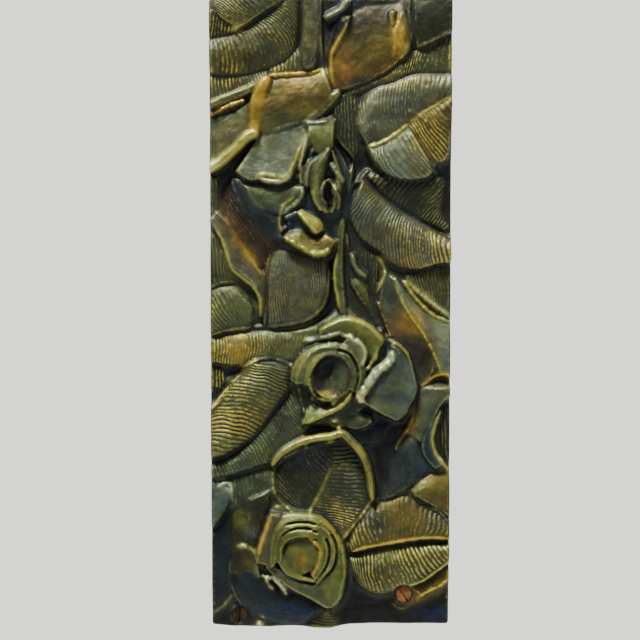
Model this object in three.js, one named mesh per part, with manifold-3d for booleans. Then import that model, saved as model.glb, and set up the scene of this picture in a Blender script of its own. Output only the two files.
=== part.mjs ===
// A cast bronze relief panel of roses and leaves, with the two slotted screws that hold it.
//
// Units are millimetres and +Z is up. The back of the casting lies in the plane y = 0 and the
// carved front faces -Y. The origin is at the middle of the back. Heights of the carving are
// measured forwards from the back.

import * as THREE from "three";
import { mergeVertices } from "three/addons/utils/BufferGeometryUtils.js";
import Module from "manifold-3d";

const wasm = await Module();
wasm.setup();

// Driving dimensions of the casting
const PANEL_WIDTH = 105;
const PANEL_LENGTH = 277;
const PLATE_THICKNESS = 3.5;
const RELIEF_LIMIT = 18;
const BURIED_DEPTH = 1.6;
const CORNER_RADIUS = 2;

// Driving dimensions of the two countersunk wood screws
const SCREW_HEAD_DIAMETER = 6.8;
const SCREW_SHANK_DIAMETER = 3.5;
const SCREW_LENGTH = 19;
const SCREW_HEAD_RIM = 0.5;
const SLOT_WIDTH = 0.9;
const SLOT_DEPTH = 1.1;
const SCREW_CLEARANCE = 0.35;
const SCREW_POINT = 3;
const BOSS_RADIUS = 5.2;
const SCREW_SIDES = 24;

// How finely a curve is stepped: the length of one step and the most steps on one form
const STEP_LENGTH = 6;
const LEAST_STEPS = 3;
const MOST_STEPS = 8;
const RING_STEPS = 14;

// Edges shorter than this are closed up where forms join
const JOIN_TOLERANCE = 0.08;

const screws = [
  { name: "screw_right", x: 32.5, z: -123.7, seat: 4.4, slotAngle: -58, colour: 0xb4703a },
  { name: "screw_left", x: -40.3, z: -132.7, seat: 4.4, slotAngle: 90, colour: 0x5a4028 },
];

// Leaf halves, petals and webs. Each is a surface drawn from a root curve to an edge curve, both
// given as [x, z]. rise and lift are the heights at the start and end of the root and of the edge,
// swell is how far the middle stands proud, fall shapes the slope and bow bends the surface along
// its length.
const leaves = [
  {
    name: "corner_leaf_upper",
    root: [[-53, 133.5], [-50, 138.5], [-43, 142], [-32, 145]],
    edge: [[-40, 125], [-35.5, 127.5], [-30.5, 131], [-17, 139.5]],
    rise: [7, 7],
    lift: [9, 9.5],
    swell: 0.8,
  },
  {
    name: "corner_leaf_lower",
    root: [[-53, 133.5], [-46, 131.3], [-40, 125.3]],
    edge: [[-53, 120.5], [-47, 121.5], [-41, 124]],
    rise: [8, 8.8],
    lift: [6.4, 7.4],
  },
  {
    name: "broad_leaf",
    root: [[-54, 121], [-40, 126], [-30, 133], [-20, 140]],
    edge: [[-54, 106], [-42, 105.3], [-28, 107.8], [-17, 114], [-13, 125], [-13, 140]],
    rise: [5.6, 6],
    lift: [5.2, 5.2],
    swell: 2.2,
    fall: 1.5,
    bow: 3,
  },
  {
    name: "narrow_leaf",
    root: [[-27, 109], [-20, 112], [-14, 117.5], [-10, 121]],
    edge: [[-27, 105.8], [-20, 106.3], [-12, 107.3], [-9.5, 107.8]],
    rise: [4.8, 5.2],
    lift: [5.8, 6.2],
  },
  {
    name: "pointed_fold",
    root: [[-10, 108], [-9, 113], [-7, 120]],
    edge: [[-3.2, 108], [-4.2, 113], [-5.5, 120]],
    rise: [6.2, 6.2],
    lift: [5.6, 5.6],
    swell: -0.8,
  },
  {
    name: "short_veined_band",
    root: [[-54, 106.5], [-40, 106], [-28, 108.5]],
    edge: [[-54, 93], [-44, 96], [-34, 100], [-27, 104.5]],
    rise: [4.4, 4.6],
    lift: [5.6, 6],
  },
  {
    name: "cup",
    root: [[-54, 72], [-53, 81], [-50, 87.5], [-44, 91], [-36, 94.3]],
    edge: [[-52, 66], [-47, 67.8], [-41, 73.5], [-36.8, 79.5], [-33.5, 92]],
    rise: [4.2, 4.2],
    lift: [9.6, 8.6],
    fall: 1.2,
  },
  {
    name: "smooth_leaf",
    root: [[-28, 104], [-22, 104.6], [-11, 105.3], [-2.5, 107.5]],
    edge: [[-31, 80], [-22, 82.3], [-12, 85.2], [-5, 88], [1, 97]],
    rise: [5.2, 5.6],
    lift: [7.8, 8],
    swell: 0.8,
  },
  {
    name: "hollow_side",
    root: [[-1.5, 112], [-0.5, 118], [1, 124], [3, 130]],
    edge: [[0.6, 113], [2.6, 118.5], [5.5, 123.5], [8.5, 130.5]],
    rise: [5.4, 5.4],
    lift: [9, 9],
  },
  {
    name: "gold_hollow",
    root: [[9.5, 132.5], [15, 135.5], [22, 136], [29, 136.8], [33, 141]],
    edge: [[0.8, 113], [2, 99.5], [12, 101], [23, 106.2], [29.5, 111.5], [33.8, 119], [34.2, 131]],
    rise: [3.4, 3.4],
    lift: [7.2, 7.2],
    swell: 0.3,
    fall: 0.75,
  },
  {
    name: "dark_leaf",
    root: [[35, 142], [44, 144], [55, 145]],
    edge: [[37, 117], [41, 118.6], [47, 121.5], [55, 126]],
    rise: [6, 6],
    lift: [7.4, 7.6],
    swell: 0.6,
  },
  {
    name: "upper_veined_band",
    root: [[4, 98], [14, 102.5], [24, 107], [30, 112.8], [36, 117], [45, 120.5], [55, 125]],
    edge: [[5, 95], [12, 97.8], [20, 100.3], [27, 101.7], [33, 104.6], [40, 105.8], [55, 105.6]],
    rise: [4.6, 4.8],
    lift: [5.6, 5.6],
  },
  {
    name: "fan_upper",
    root: [
      [16.3, 74.7], [17.5, 75], [20, 75.6], [24, 77.3], [28.5, 80.2], [33.5, 84], [39, 88.5],
      [45, 92], [55, 98],
    ],
    edge: [
      [15, 76], [11, 84], [13.5, 93], [20, 99.6], [27, 101.5], [33, 104.3], [38, 105.5],
      [46, 105.5], [55, 105.5],
    ],
    rise: [8.4, 8],
    lift: [7, 6.4],
    swell: 0.5,
    bow: -2,
  },
  {
    name: "fan_lower",
    root: [[16.5, 74.3], [18, 74.6], [20, 75], [22.5, 76], [26, 78.3], [30, 81.2], [33, 83.5]],
    edge: [
      [18.2, 70.8], [20.4, 66.6], [24, 62.8], [31, 60.4], [39.5, 60.6], [43.8, 63], [43.3, 67.8],
    ],
    rise: [8.4, 8.2],
    lift: [9.4, 9.8],
    swell: 1.2,
    bow: -2.6,
  },
  {
    name: "fan_lower_far",
    root: [[33, 83.5], [37, 87], [41, 90], [46, 92.5], [55, 98]],
    edge: [[43.2, 68.2], [49.6, 69.5], [51, 79], [52.2, 88], [55, 95]],
    rise: [8.2, 8],
    lift: [9, 8.2],
    swell: 0.4,
    bow: -1.2,
  },
  {
    name: "hanging_leaf",
    root: [[1, 97.5], [5, 98.2], [9, 98], [13, 95]],
    edge: [[1.5, 80.5], [5, 75.2], [9.5, 70], [14, 74.5]],
    rise: [5.4, 5.4],
    lift: [7, 6],
  },
  {
    name: "rose1_left_petal",
    root: [[-31, 79], [-26, 81], [-20, 83], [-13, 84.5], [-9.5, 84]],
    edge: [[-42, 63.5], [-35, 59.3], [-26, 59.8], [-19.5, 60.5], [-16, 64], [-14, 71], [-10, 82]],
    rise: [6.6, 8],
    lift: [9.6, 10.2],
    swell: 1,
    fall: 1.2,
  },
  {
    name: "rose1_lower_petal",
    root: [[-38, 59], [-30, 58.5], [-20, 58.5], [-12.5, 57.5]],
    edge: [[-37.5, 55.5], [-31.5, 49], [-24, 46.5], [-17, 48.5], [-12.3, 54.5]],
    rise: [6, 6.4],
    lift: [7.8, 8.8],
    swell: 0.6,
  },
  {
    name: "rose1_body",
    root: [[-37, 60], [-29, 51], [-23, 43], [-19.5, 33.5]],
    edge: [[-43.8, 61], [-40, 51], [-36, 43], [-29, 35.5], [-20, 31]],
    rise: [7.2, 7.6],
    lift: [4.8, 4.8],
    fall: 1.8,
  },
  {
    name: "rose1_bottom_lip",
    root: [[-18, 40], [-12, 38.5], [-7, 35.5], [0, 38]],
    edge: [[-21, 36.3], [-15, 32.3], [-9, 28.8], [-4, 27.7], [1, 30], [4, 35]],
    rise: [7.8, 7.6],
    lift: [11, 10.6],
    swell: 0.8,
  },
  {
    name: "bud_left",
    root: [[0, 74.5], [-0.7, 64], [-1, 55], [-0.5, 46]],
    edge: [[-1.5, 75], [-8.8, 68.5], [-9.8, 60], [-7, 51], [-2.5, 45.3]],
    rise: [8, 8],
    lift: [8.6, 8.6],
    swell: 4.2,
  },
  {
    name: "bud_right",
    root: [[0.6, 74], [0.9, 64], [0.9, 55], [0, 46]],
    edge: [[1.5, 73.5], [5.4, 63], [4.6, 54.5], [1, 45.5]],
    rise: [8, 8],
    lift: [8.2, 8.2],
    swell: 3.4,
  },
  {
    name: "rose1_receptacle",
    root: [[-10, 85], [-4, 87], [2, 86]],
    edge: [[-11, 77], [-5, 73.5], [2, 74]],
    rise: [8.4, 8.4],
    lift: [8.8, 8.8],
    swell: 0.9,
  },
  {
    name: "rose1_right_body",
    root: [[-2, 47], [2, 47], [6, 50]],
    edge: [[0, 31], [4, 34], [6.5, 40]],
    rise: [9, 8.4],
    lift: [6.4, 5.6],
    swell: 0.8,
  },
  {
    name: "right_leaf_upper",
    root: [[15.5, 60.5], [22, 53.5], [28, 48.7], [34, 45], [39, 42], [44, 39.5], [48, 37.5]],
    edge: [[17, 63], [28, 64], [40, 64], [48.9, 60.5], [48.9, 52], [48.6, 46], [51.5, 40]],
    rise: [5.4, 5.2],
    lift: [5.8, 6],
    swell: 0.6,
  },
  {
    name: "right_leaf_lower",
    root: [
      [14.5, 60], [18, 56.5], [22, 53], [27, 49.3], [32, 46], [37, 43], [41, 40.7], [46, 38],
      [55, 32.5],
    ],
    edge: [
      [11, 55], [7.8, 46], [12, 36], [21, 29], [29, 23.8], [36, 21.2], [41.5, 21.8], [47, 23.5],
      [55, 24],
    ],
    rise: [6.6, 6],
    lift: [6.8, 7.2],
    swell: 3,
    bow: -2.8,
  },
  {
    name: "right_vertical_band",
    root: [[31, 20], [38, 21], [46, 23], [55, 24]],
    edge: [[35, 14], [42, 8], [48, 4], [55, 0]],
    rise: [4.4, 4.4],
    lift: [5.4, 5.4],
  },
  {
    name: "right_smooth_leaf",
    root: [[29, 18], [34, 11], [40, 4.5], [46, 0], [55, -3]],
    edge: [[28, 17], [31, 8], [36, 0], [42, -9], [46, -18], [49, -25], [55, -25.5]],
    rise: [4.4, 4.4],
    lift: [7.6, 7.4],
    fall: 0.7,
  },
  {
    name: "bract",
    root: [[24, 20], [22.5, 13], [21.3, 8], [23, 1], [26, -8], [34, -15], [37, -27]],
    edge: [[27, 17.8], [30, 10], [34, 2], [40, -6.4], [44, -13.5], [46.6, -20.5], [41, -29.8]],
    rise: [6.6, 6.4],
    lift: [7.4, 7.6],
    swell: -0.9,
  },
  {
    name: "dark_veined_leaf",
    root: [[9, 34], [15, 32], [21, 28]],
    edge: [[10, 14], [15.5, 11], [20.5, 10]],
    rise: [4.4, 4.6],
    lift: [5.4, 5.4],
  },
  {
    name: "stem_web",
    root: [[9, 16], [12, 17], [16, 14]],
    edge: [[12, 9.5], [14.5, 7], [17.5, 3.5]],
    rise: [6.8, 6.4],
    lift: [5.8, 5.6],
  },
  {
    name: "pale_strip",
    root: [[-55, 62], [-55, 52], [-55, 43]],
    edge: [[-49.4, 61], [-48.9, 52], [-49.6, 44]],
    rise: [5, 5],
    lift: [5.6, 5.6],
  },
  {
    name: "streaked_leaf",
    root: [[-50, 46], [-47, 54], [-43.5, 60]],
    edge: [[-30, 19], [-27, 25], [-22, 31]],
    rise: [5, 5],
    lift: [5, 5.2],
    swell: 0.8,
  },
  {
    name: "blade_leaf",
    root: [
      [-49.5, 46.5], [-44, 40], [-40, 33.3], [-36, 27], [-32, 21.5], [-29.4, 17], [-29.4, 8],
      [-30.3, 0],
    ],
    edge: [
      [-52.5, 43], [-47.3, 34], [-44.8, 27], [-42.8, 21.6], [-38.5, 17.6], [-33.8, 13.8],
      [-31, 7.5], [-31.2, 0.5],
    ],
    rise: [7.6, 7.4],
    lift: [8.2, 8],
    swell: -0.8,
  },
  {
    name: "left_vertical_band",
    root: [[-55, 39], [-49.5, 36.5], [-45, 28]],
    edge: [[-55, 13], [-47, 14.5], [-41.5, 15]],
    rise: [4.6, 4.8],
    lift: [5.6, 5.6],
  },
  {
    name: "left_diagonal_leaf",
    root: [[-55, -3], [-55, 5], [-52.5, 11], [-46, 13.7], [-40.5, 13], [-37, 9]],
    edge: [[-50, -7.4], [-45, -6.5], [-40, -5.6], [-36, -5], [-33.5, -2], [-33, 3]],
    rise: [6, 5.4],
    lift: [5.4, 5],
    swell: 1.5,
  },
  {
    name: "middle_fan_leaf",
    root: [[-27.5, 29], [-24, 30], [-17, 29.5], [-10, 28], [-2, 26]],
    edge: [[-27, -4], [-19, -3.4], [-12, -2], [-6, 1.5], [-2, 9]],
    rise: [5, 5],
    lift: [6.4, 6.6],
    swell: 0.9,
  },
  {
    name: "lower_left_leaf",
    root: [[-55, -9.4], [-45, -7.4], [-33, -6.3], [-22, -5.6], [-9, -5]],
    edge: [[-55, -18.4], [-44.5, -20.5], [-34, -19.5], [-23, -18.5], [-11, -20]],
    rise: [5.4, 5.6],
    lift: [7.4, 7.6],
    swell: 0.4,
    bow: 0.8,
  },
  {
    name: "ribbed_leaf",
    root: [[-36, -19.5], [-38, -24.5], [-46, -31], [-51, -38], [-55, -45], [-55, -52], [-55, -61]],
    edge: [
      [-15.5, -22.5], [-17.5, -30], [-22, -36.5], [-26.5, -43], [-31, -49.5], [-36.5, -55],
      [-45, -60.5],
    ],
    rise: [8.6, 7.6],
    lift: [6.2, 6],
    swell: 2.4,
    bow: -3,
  },
  {
    name: "left_small_leaf",
    root: [[-55, -20], [-50, -21], [-46, -23]],
    edge: [[-55, -39], [-50, -35], [-46.5, -31]],
    rise: [4.6, 4.6],
    lift: [5.4, 5.4],
  },
  {
    name: "ribbed_leaf_lower",
    root: [[-16, -29], [-22, -38], [-27, -44.5], [-33, -51.5], [-40, -58], [-47, -62], [-55, -65]],
    edge: [
      [-12, -42], [-11, -52], [-19, -59.5], [-26, -64], [-34, -66.3], [-43, -69.3], [-55, -71.8],
    ],
    rise: [4.6, 5.8],
    lift: [7, 7],
    swell: 1,
    bow: -0.8,
  },
  {
    name: "cup_leaf_left",
    root: [[1.5, -58], [-1, -68], [-4, -76], [-7, -82], [-9, -86], [-10, -88]],
    edge: [[-3, -55], [-9, -57], [-15, -60], [-20, -63.5], [-24, -70], [-22, -82]],
    rise: [4.4, 7.8],
    lift: [3.8, 7.2],
    swell: -0.4,
    bow: 0.8,
  },
  {
    name: "cup_leaf_right",
    root: [[0.7, -57.6], [0, -66], [-3, -75], [-6, -82], [-9, -87], [-7, -90.5], [-3, -94.8]],
    edge: [[10, -56], [15.5, -66], [17, -77], [14.5, -85], [10, -91], [6.6, -95.6], [3.4, -99]],
    rise: [4.4, 7.6],
    lift: [3.8, 9],
    swell: -0.4,
  },
  {
    name: "rose2_back_petal",
    root: [[-4, -7], [4, -8], [12, -12], [17, -18]],
    edge: [[-2, -3.6], [6, -0.6], [14, -2], [20, -6.5], [23.6, -9.6], [21, -14]],
    rise: [8.6, 8.6],
    lift: [9.6, 9.8],
    swell: 1,
  },
  {
    name: "rose2_upper_petal",
    root: [[-12, -13], [-4, -12], [5, -12.5]],
    edge: [[-11.5, -9.5], [-4, -7.6], [6, -6.8]],
    rise: [6.4, 6.6],
    lift: [9.4, 9.8],
  },
  {
    name: "rose2_grey_lobe",
    root: [[4, -13], [8, -16.5], [11.5, -21.5]],
    edge: [[6, -7.4], [12, -10.4], [15, -15.5], [13.8, -20.8]],
    rise: [8.6, 8.6],
    lift: [11.2, 11.2],
    fall: 0.8,
  },
  {
    name: "rose2_ring_left",
    root: [[-8.4, -27], [-6.8, -21], [-3.2, -17], [1, -15.5]],
    edge: [[-15.6, -26], [-13, -19], [-8, -14.4], [0, -12.4]],
    rise: [12, 12],
    lift: [11.4, 11.6],
    swell: -1.4,
  },
  {
    name: "rose2_ring_right",
    root: [[1, -15.5], [5.2, -18], [8, -24], [6.4, -32.5]],
    edge: [[0, -12.4], [7.4, -13.6], [13, -22], [11.4, -33]],
    rise: [12.4, 12],
    lift: [10.6, 9.6],
    swell: -0.7,
  },
  {
    name: "rose2_lower_petal_left",
    root: [[-10, -34], [-5, -36.5], [1, -36.5], [6.4, -33]],
    edge: [[-13, -47.2], [-6, -43.2], [1, -40.3], [6, -36.8], [9.4, -32]],
    rise: [8, 8.4],
    lift: [10.6, 11],
    swell: 0.3,
  },
  {
    name: "rose2_big_petal",
    root: [[26, -12], [26, -18], [23, -23], [19.5, -27.5], [17, -32], [15, -37]],
    edge: [[28, -10.5], [34, -16.5], [36.3, -24.5], [38, -32], [34.5, -39], [30, -45]],
    rise: [9, 9],
    lift: [9.4, 10],
    swell: 1.6,
  },
  {
    name: "rose2_slot",
    root: [[17.5, -16], [16, -22], [12.5, -27], [10.5, -32]],
    edge: [[25, -12], [25.5, -17], [18, -25.5], [12.5, -33.5]],
    rise: [9.6, 9.6],
    lift: [8, 9.4],
    swell: -1.2,
  },
  {
    name: "rose2_lower_petal",
    root: [[3, -42], [10, -41], [18, -43]],
    edge: [[3, -47], [10, -48.8], [18.5, -46.4]],
    rise: [5.2, 5.2],
    lift: [8, 8],
    swell: 0.4,
  },
  {
    name: "hollow_slope",
    root: [[6, -47], [18, -47], [27, -47]],
    edge: [[8, -52], [16, -57], [22, -56]],
    rise: [4.4, 4.4],
    lift: [5.4, 4.2],
  },
  {
    name: "grey_leaf",
    root: [[38.5, -30.5], [37, -38], [36.5, -45], [34, -51], [38, -54]],
    edge: [[55, -31], [50, -36], [46.3, -42], [43, -49.5], [40, -55]],
    rise: [6.2, 6.4],
    lift: [7.2, 7.2],
    swell: 0.9,
  },
  {
    name: "grey_leaf_tongue",
    root: [[46, -44], [44.6, -52], [45.8, -59], [49, -65]],
    edge: [[43.4, -48.6], [39.8, -56], [41.6, -62], [46, -67]],
    rise: [7.8, 7.8],
    lift: [8.6, 8.4],
  },
  {
    name: "blue_leaf",
    root: [[34, -52], [29.5, -58.5], [26.5, -65], [24.4, -71.5], [20, -80.5]],
    edge: [[39, -54.5], [41.3, -61.5], [45, -67.5], [40, -71], [31, -78.5]],
    rise: [4.8, 5],
    lift: [6, 6],
    swell: 1.1,
  },
  {
    name: "edge_lined_band",
    root: [[47.5, -39], [51, -38], [55, -37]],
    edge: [[48.5, -60], [52, -65], [55, -68]],
    rise: [4, 4],
    lift: [4.4, 4.4],
  },
  {
    name: "olive_mound",
    root: [[35, -75.5], [40, -70.5], [47, -68], [55, -70]],
    edge: [[37.5, -79.5], [43, -81], [49, -84.5], [55, -88]],
    rise: [5, 5],
    lift: [7.6, 7.6],
    swell: 1.2,
  },
  {
    name: "bottom_leaf_upper",
    root: [
      [9, -103.6], [14, -102.2], [20, -101], [26, -99.9], [32, -99], [38, -98.2], [45, -97.6],
      [55, -98.4],
    ],
    edge: [
      [7.4, -99.5], [10.5, -92.5], [16.5, -86], [25, -81.2], [33, -78.8], [42, -83.5], [49.5, -87],
      [55, -93.5],
    ],
    rise: [7.6, 7.4],
    lift: [6, 6.2],
    swell: 1.2,
  },
  {
    name: "bottom_leaf_lower",
    root: [
      [8.5, -105], [13, -103.9], [19, -102.7], [25, -101.6], [31, -100.7], [38, -99.9],
      [46, -99.5], [55, -99.9],
    ],
    edge: [
      [10, -113], [15, -119.5], [22, -122.2], [31, -119.8], [39, -117.6], [46, -113], [52, -108],
      [56, -104],
    ],
    rise: [5, 5],
    lift: [7.2, 7.2],
    swell: 2,
    bow: -0.9,
  },
  {
    name: "bottom_under_leaf",
    root: [[36, -120], [44, -116], [54, -109]],
    edge: [[40.5, -124.5], [47, -120.5], [54, -116]],
    rise: [5, 5],
    lift: [6.4, 6.4],
  },
  {
    name: "rose3_ring_lower",
    root: [[-21, -100], [-21.5, -107], [-17, -112.4], [-10.5, -114], [-6.5, -110]],
    edge: [[-26, -100], [-26.5, -108], [-19, -115.5], [-10, -119.5], [-2, -114]],
    rise: [10, 10],
    lift: [11.2, 10.8],
    swell: -0.6,
  },
  {
    name: "rose3_ring_upper",
    root: [[-21.4, -103], [-20, -97], [-14, -94.6], [-8, -96.4], [-4.2, -102], [-6, -110]],
    edge: [[-26.4, -105], [-23.5, -94], [-14.5, -88.4], [-5, -90.4], [1.2, -101], [-2.5, -113]],
    rise: [11, 11],
    lift: [12.2, 12],
    swell: -1,
  },
  {
    name: "rose3_right_petal",
    root: [[-4, -91], [0.6, -97], [1.2, -104], [-1, -111], [-5, -116.5], [-5.5, -121]],
    edge: [[-1, -89.5], [4, -98], [5.2, -105], [5.6, -113], [4, -121.5], [0.5, -128.4]],
    rise: [9, 9.4],
    lift: [10.2, 10.4],
    swell: 0.9,
  },
  {
    name: "rose3_lower_petal",
    root: [[-25, -108], [-18, -113.2], [-12, -117], [-4, -119]],
    edge: [[-26, -113], [-18.5, -118.6], [-10, -122.8], [-0.8, -128.4]],
    rise: [9.6, 9.6],
    lift: [10.8, 10.8],
    swell: 0.7,
  },
  {
    name: "rose3_bar_petal",
    root: [[-27.3, -85.5], [-28.7, -93], [-31.4, -100], [-33.6, -108.5]],
    edge: [[-22.4, -86], [-23.8, -93], [-26, -101], [-28.2, -109.5]],
    rise: [11.6, 11.2],
    lift: [10.2, 10],
  },
  {
    name: "rose3_left_petal",
    root: [[-26, -76], [-28, -87], [-31, -96], [-33, -105], [-33, -112]],
    edge: [[-41, -82], [-43.5, -91], [-44.3, -100], [-44.8, -108], [-44.6, -114]],
    rise: [8.6, 8.8],
    lift: [6.2, 6.2],
    swell: 1.1,
  },
  {
    name: "rose3_left_fold",
    root: [[-39, -103], [-40.5, -108.5], [-38, -114]],
    edge: [[-33, -106], [-32.6, -110.5], [-32, -115]],
    rise: [8.2, 8.4],
    lift: [9.4, 9],
    swell: 0.9,
  },
  {
    name: "rose3_bottom_petal",
    root: [[-36, -112], [-31, -115.5], [-26, -120], [-20, -121.5], [-11, -124], [-3, -128.6]],
    edge: [[-44.4, -112], [-42.8, -123], [-36, -131.6], [-25, -136.6], [-13, -137.6], [-4, -132.5]],
    rise: [8.4, 6],
    lift: [4.6, 4],
    swell: 0.6,
    fall: 1.7,
  },
  {
    name: "small_bottom_leaf",
    root: [[-2, -128.4], [-6.5, -133], [-12, -141]],
    edge: [[-1.5, -128.4], [2, -134], [4, -141]],
    rise: [5, 5],
    lift: [5.2, 5.2],
    swell: 0.7,
  },
  {
    name: "left_strip_leaf",
    root: [[-55, -70], [-48, -73], [-43.6, -75]],
    edge: [[-55, -97], [-50, -91], [-44, -82]],
    rise: [5.8, 6],
    lift: [6.2, 6.4],
    swell: 0.8,
  },
  {
    name: "left_low_leaf",
    root: [[-55, -98], [-50, -92], [-45, -84]],
    edge: [[-55, -130], [-49, -127], [-44.6, -121]],
    rise: [4.2, 4.4],
    lift: [4.6, 4.6],
  },
  {
    name: "mottled_leaf",
    root: [[-46, -71], [-36, -68.3], [-26.5, -65.5]],
    edge: [[-43, -84], [-35, -87], [-26, -86]],
    rise: [4.8, 5],
    lift: [6.6, 7],
    swell: 0.6,
  },
];

// Rolled rims, seams, folds and stems. Each follows a line of [x, z] with a half width and a top.
const ridges = [
  {
    name: "rolled_strip",
    line: [[-8, 141], [-7.6, 130], [-7.8, 120], [-8.8, 111]],
    half: 3.2,
    top: 8,
  },
  {
    name: "upper_ridge",
    line: [
      [-54, 91.6], [-45, 95.2], [-34, 99.2], [-27.5, 104.3], [-21, 105.6], [-11, 106.2], [-3, 108],
    ],
    half: 1.1,
    top: 7.4,
  },
  {
    name: "cup_lip",
    line: [[-54, 88.5], [-49, 90], [-43, 92.8], [-36, 94.8]],
    half: 1.2,
    top: 8.8,
  },
  {
    name: "cup_rim",
    line: [[-55, 65], [-50, 65.8], [-45, 70], [-40, 74.5], [-35.5, 79.6], [-31, 80.8]],
    half: 1.9,
    top: 10.4,
  },
  {
    name: "folded_ridge",
    line: [[-27.5, 103.5], [-30.8, 97], [-32.4, 90], [-32.8, 84], [-32.2, 80.5]],
    half: 2.6,
    top: 9.9,
  },
  {
    name: "diagonal_band",
    line: [[-10, 84.5], [-6, 88], [-2, 92.5], [3, 97.5]],
    half: 1.9,
    top: 9.2,
  },
  {
    name: "small_tip",
    line: [[-3, 129.3], [1.5, 131.6], [5, 133.5], [8, 138]],
    half: 1.6,
    top: 7.4,
  },
  {
    name: "hollow_lobe",
    line: [[27, 133], [26.2, 130], [26.6, 126.5]],
    half: 1.4,
    top: 8.2,
  },
  {
    name: "right_fold",
    line: [[34.4, 141], [33.8, 132], [34.8, 124], [33.6, 118], [30, 112]],
    half: 1.5,
    top: 8,
  },
  {
    name: "fan_midrib",
    line: [[15.5, 74.3], [20, 75.2], [25, 77.6], [30, 81.2], [34, 84.3]],
    half: 0.9,
    top: 10,
  },
  {
    name: "fan_fold",
    line: [[33, 90.5], [37, 88.3], [41, 85.5], [44.5, 82.3]],
    half: 0.9,
    top: 9.8,
  },
  {
    name: "small_brown_ridge",
    line: [[16.8, 64.5], [13, 60], [9, 56], [7, 49]],
    half: 1.2,
    top: 6.4,
  },
  {
    name: "rose1_yellow_fold",
    line: [[-14.5, 47.5], [-11, 44], [-8, 41], [-4, 37.8]],
    half: 1.5,
    top: 11.3,
  },
  {
    name: "rose1_pale_fold",
    line: [[-21, 42.5], [-17, 44.6], [-13.4, 46.8]],
    half: 1.2,
    top: 8.6,
  },
  {
    name: "rose1_corner_fold",
    line: [[-21, 38], [-17.5, 40.2], [-13.3, 42.8]],
    half: 0.9,
    top: 9.4,
  },
  {
    name: "bud_left_ridge",
    line: [[-4.3, 63], [-4.8, 57], [-4, 52], [-2.3, 47.5]],
    half: 1,
    top: 14,
  },
  {
    name: "bud_right_line",
    line: [[0, 71.5], [3, 67], [6.4, 60.8]],
    half: 0.9,
    top: 10.6,
  },
  {
    name: "stem_beside_rose1",
    line: [[10, 70], [8.4, 60], [6.6, 52], [5.2, 44], [5.2, 36]],
    half: 0.9,
    top: 7.4,
  },
  {
    name: "double_ridge_upper",
    line: [[32.8, 17], [38, 11.7], [44, 6.7], [50, 2.2], [55, -1]],
    half: 1,
    top: 8.7,
  },
  {
    name: "double_ridge_lower",
    line: [[31.6, 16.4], [35.5, 10.5], [40.5, 4.8], [46, 0.5], [55, -3]],
    half: 0.9,
    top: 8.5,
  },
  {
    name: "bract_left_ridge",
    line: [[20.6, 7], [22.5, 2], [24.5, -3], [26.5, -9]],
    half: 1,
    top: 7.4,
  },
  {
    name: "main_stem",
    line: [[5.4, 44], [4.4, 36], [4, 28], [3.9, 18], [4.8, 9], [6, -1]],
    half: 1.9,
    top: 8.2,
  },
  {
    name: "second_stem",
    line: [[6.8, 38], [8, 28], [8.6, 21], [9.8, 14.5], [13, 9], [17, 3], [20.5, -3], [23.3, -8]],
    half: 1,
    top: 7.6,
  },
  {
    name: "thorn",
    line: [[9.4, 28], [10.6, 22.8], [13, 19.6], [16, 17.8]],
    half: 1.2,
    top: 8.8,
  },
  {
    name: "long_rim",
    line: [
      [-55, -8], [-46, -5.6], [-36, -4.5], [-25, -3.8], [-14, -2.2], [-8, 0.2], [-4, 4], [-2, 9],
      [-1, 15], [-0.8, 25],
    ],
    half: 0.9,
    top: 7.8,
  },
  {
    name: "middle_leaf_left_ridge",
    line: [[-24.8, 31], [-27.3, 24], [-28, 14], [-28.2, 6], [-29, -4]],
    half: 1.1,
    top: 7.2,
  },
  {
    name: "cup_leaf_rim",
    line: [
      [-26, -65.5], [-22.5, -60.5], [-18, -57.2], [-12, -54.3], [-5, -52.7], [0, -52.2], [5, -51],
      [9, -54.3], [13, -59], [15.7, -64], [17.3, -70], [18, -76], [18.5, -81],
    ],
    half: 1.6,
    top: 10.3,
  },
  {
    name: "cup_leaf_left_rim",
    line: [[-25, -65.5], [-25.4, -72], [-24.5, -78], [-20.5, -83.2], [-15, -86.5], [-8.5, -88.3]],
    half: 0.9,
    top: 8.8,
  },
  {
    name: "rose2_pale_rim",
    line: [[-13, -47], [-8, -44], [-4, -42], [0, -40.6], [4, -39], [7, -35.5], [9.2, -31.8]],
    half: 0.9,
    top: 11.6,
  },
  {
    name: "rose2_crumpled_lip",
    line: [
      [26.3, -16.5], [24.8, -20], [21, -22.6], [17.6, -27], [14.6, -31], [12.4, -34.4],
      [13.6, -36.8],
    ],
    half: 1.4,
    top: 12.4,
  },
  {
    name: "brown_edge",
    line: [[37, -38], [35.9, -45], [33.6, -50], [30.4, -54.5], [28.6, -59]],
    half: 1.1,
    top: 7,
  },
  {
    name: "screw_boss_rim",
    line: [[27, -126], [29.5, -129.2], [33, -129.9], [36.6, -126.8], [37.2, -123]],
    half: 1,
    top: 5.6,
  },
  {
    name: "left_lower_ridge",
    line: [[-55, -135], [-50, -130.5], [-47, -128.3], [-43.4, -123.6]],
    half: 0.9,
    top: 6.6,
  },
];

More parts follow.
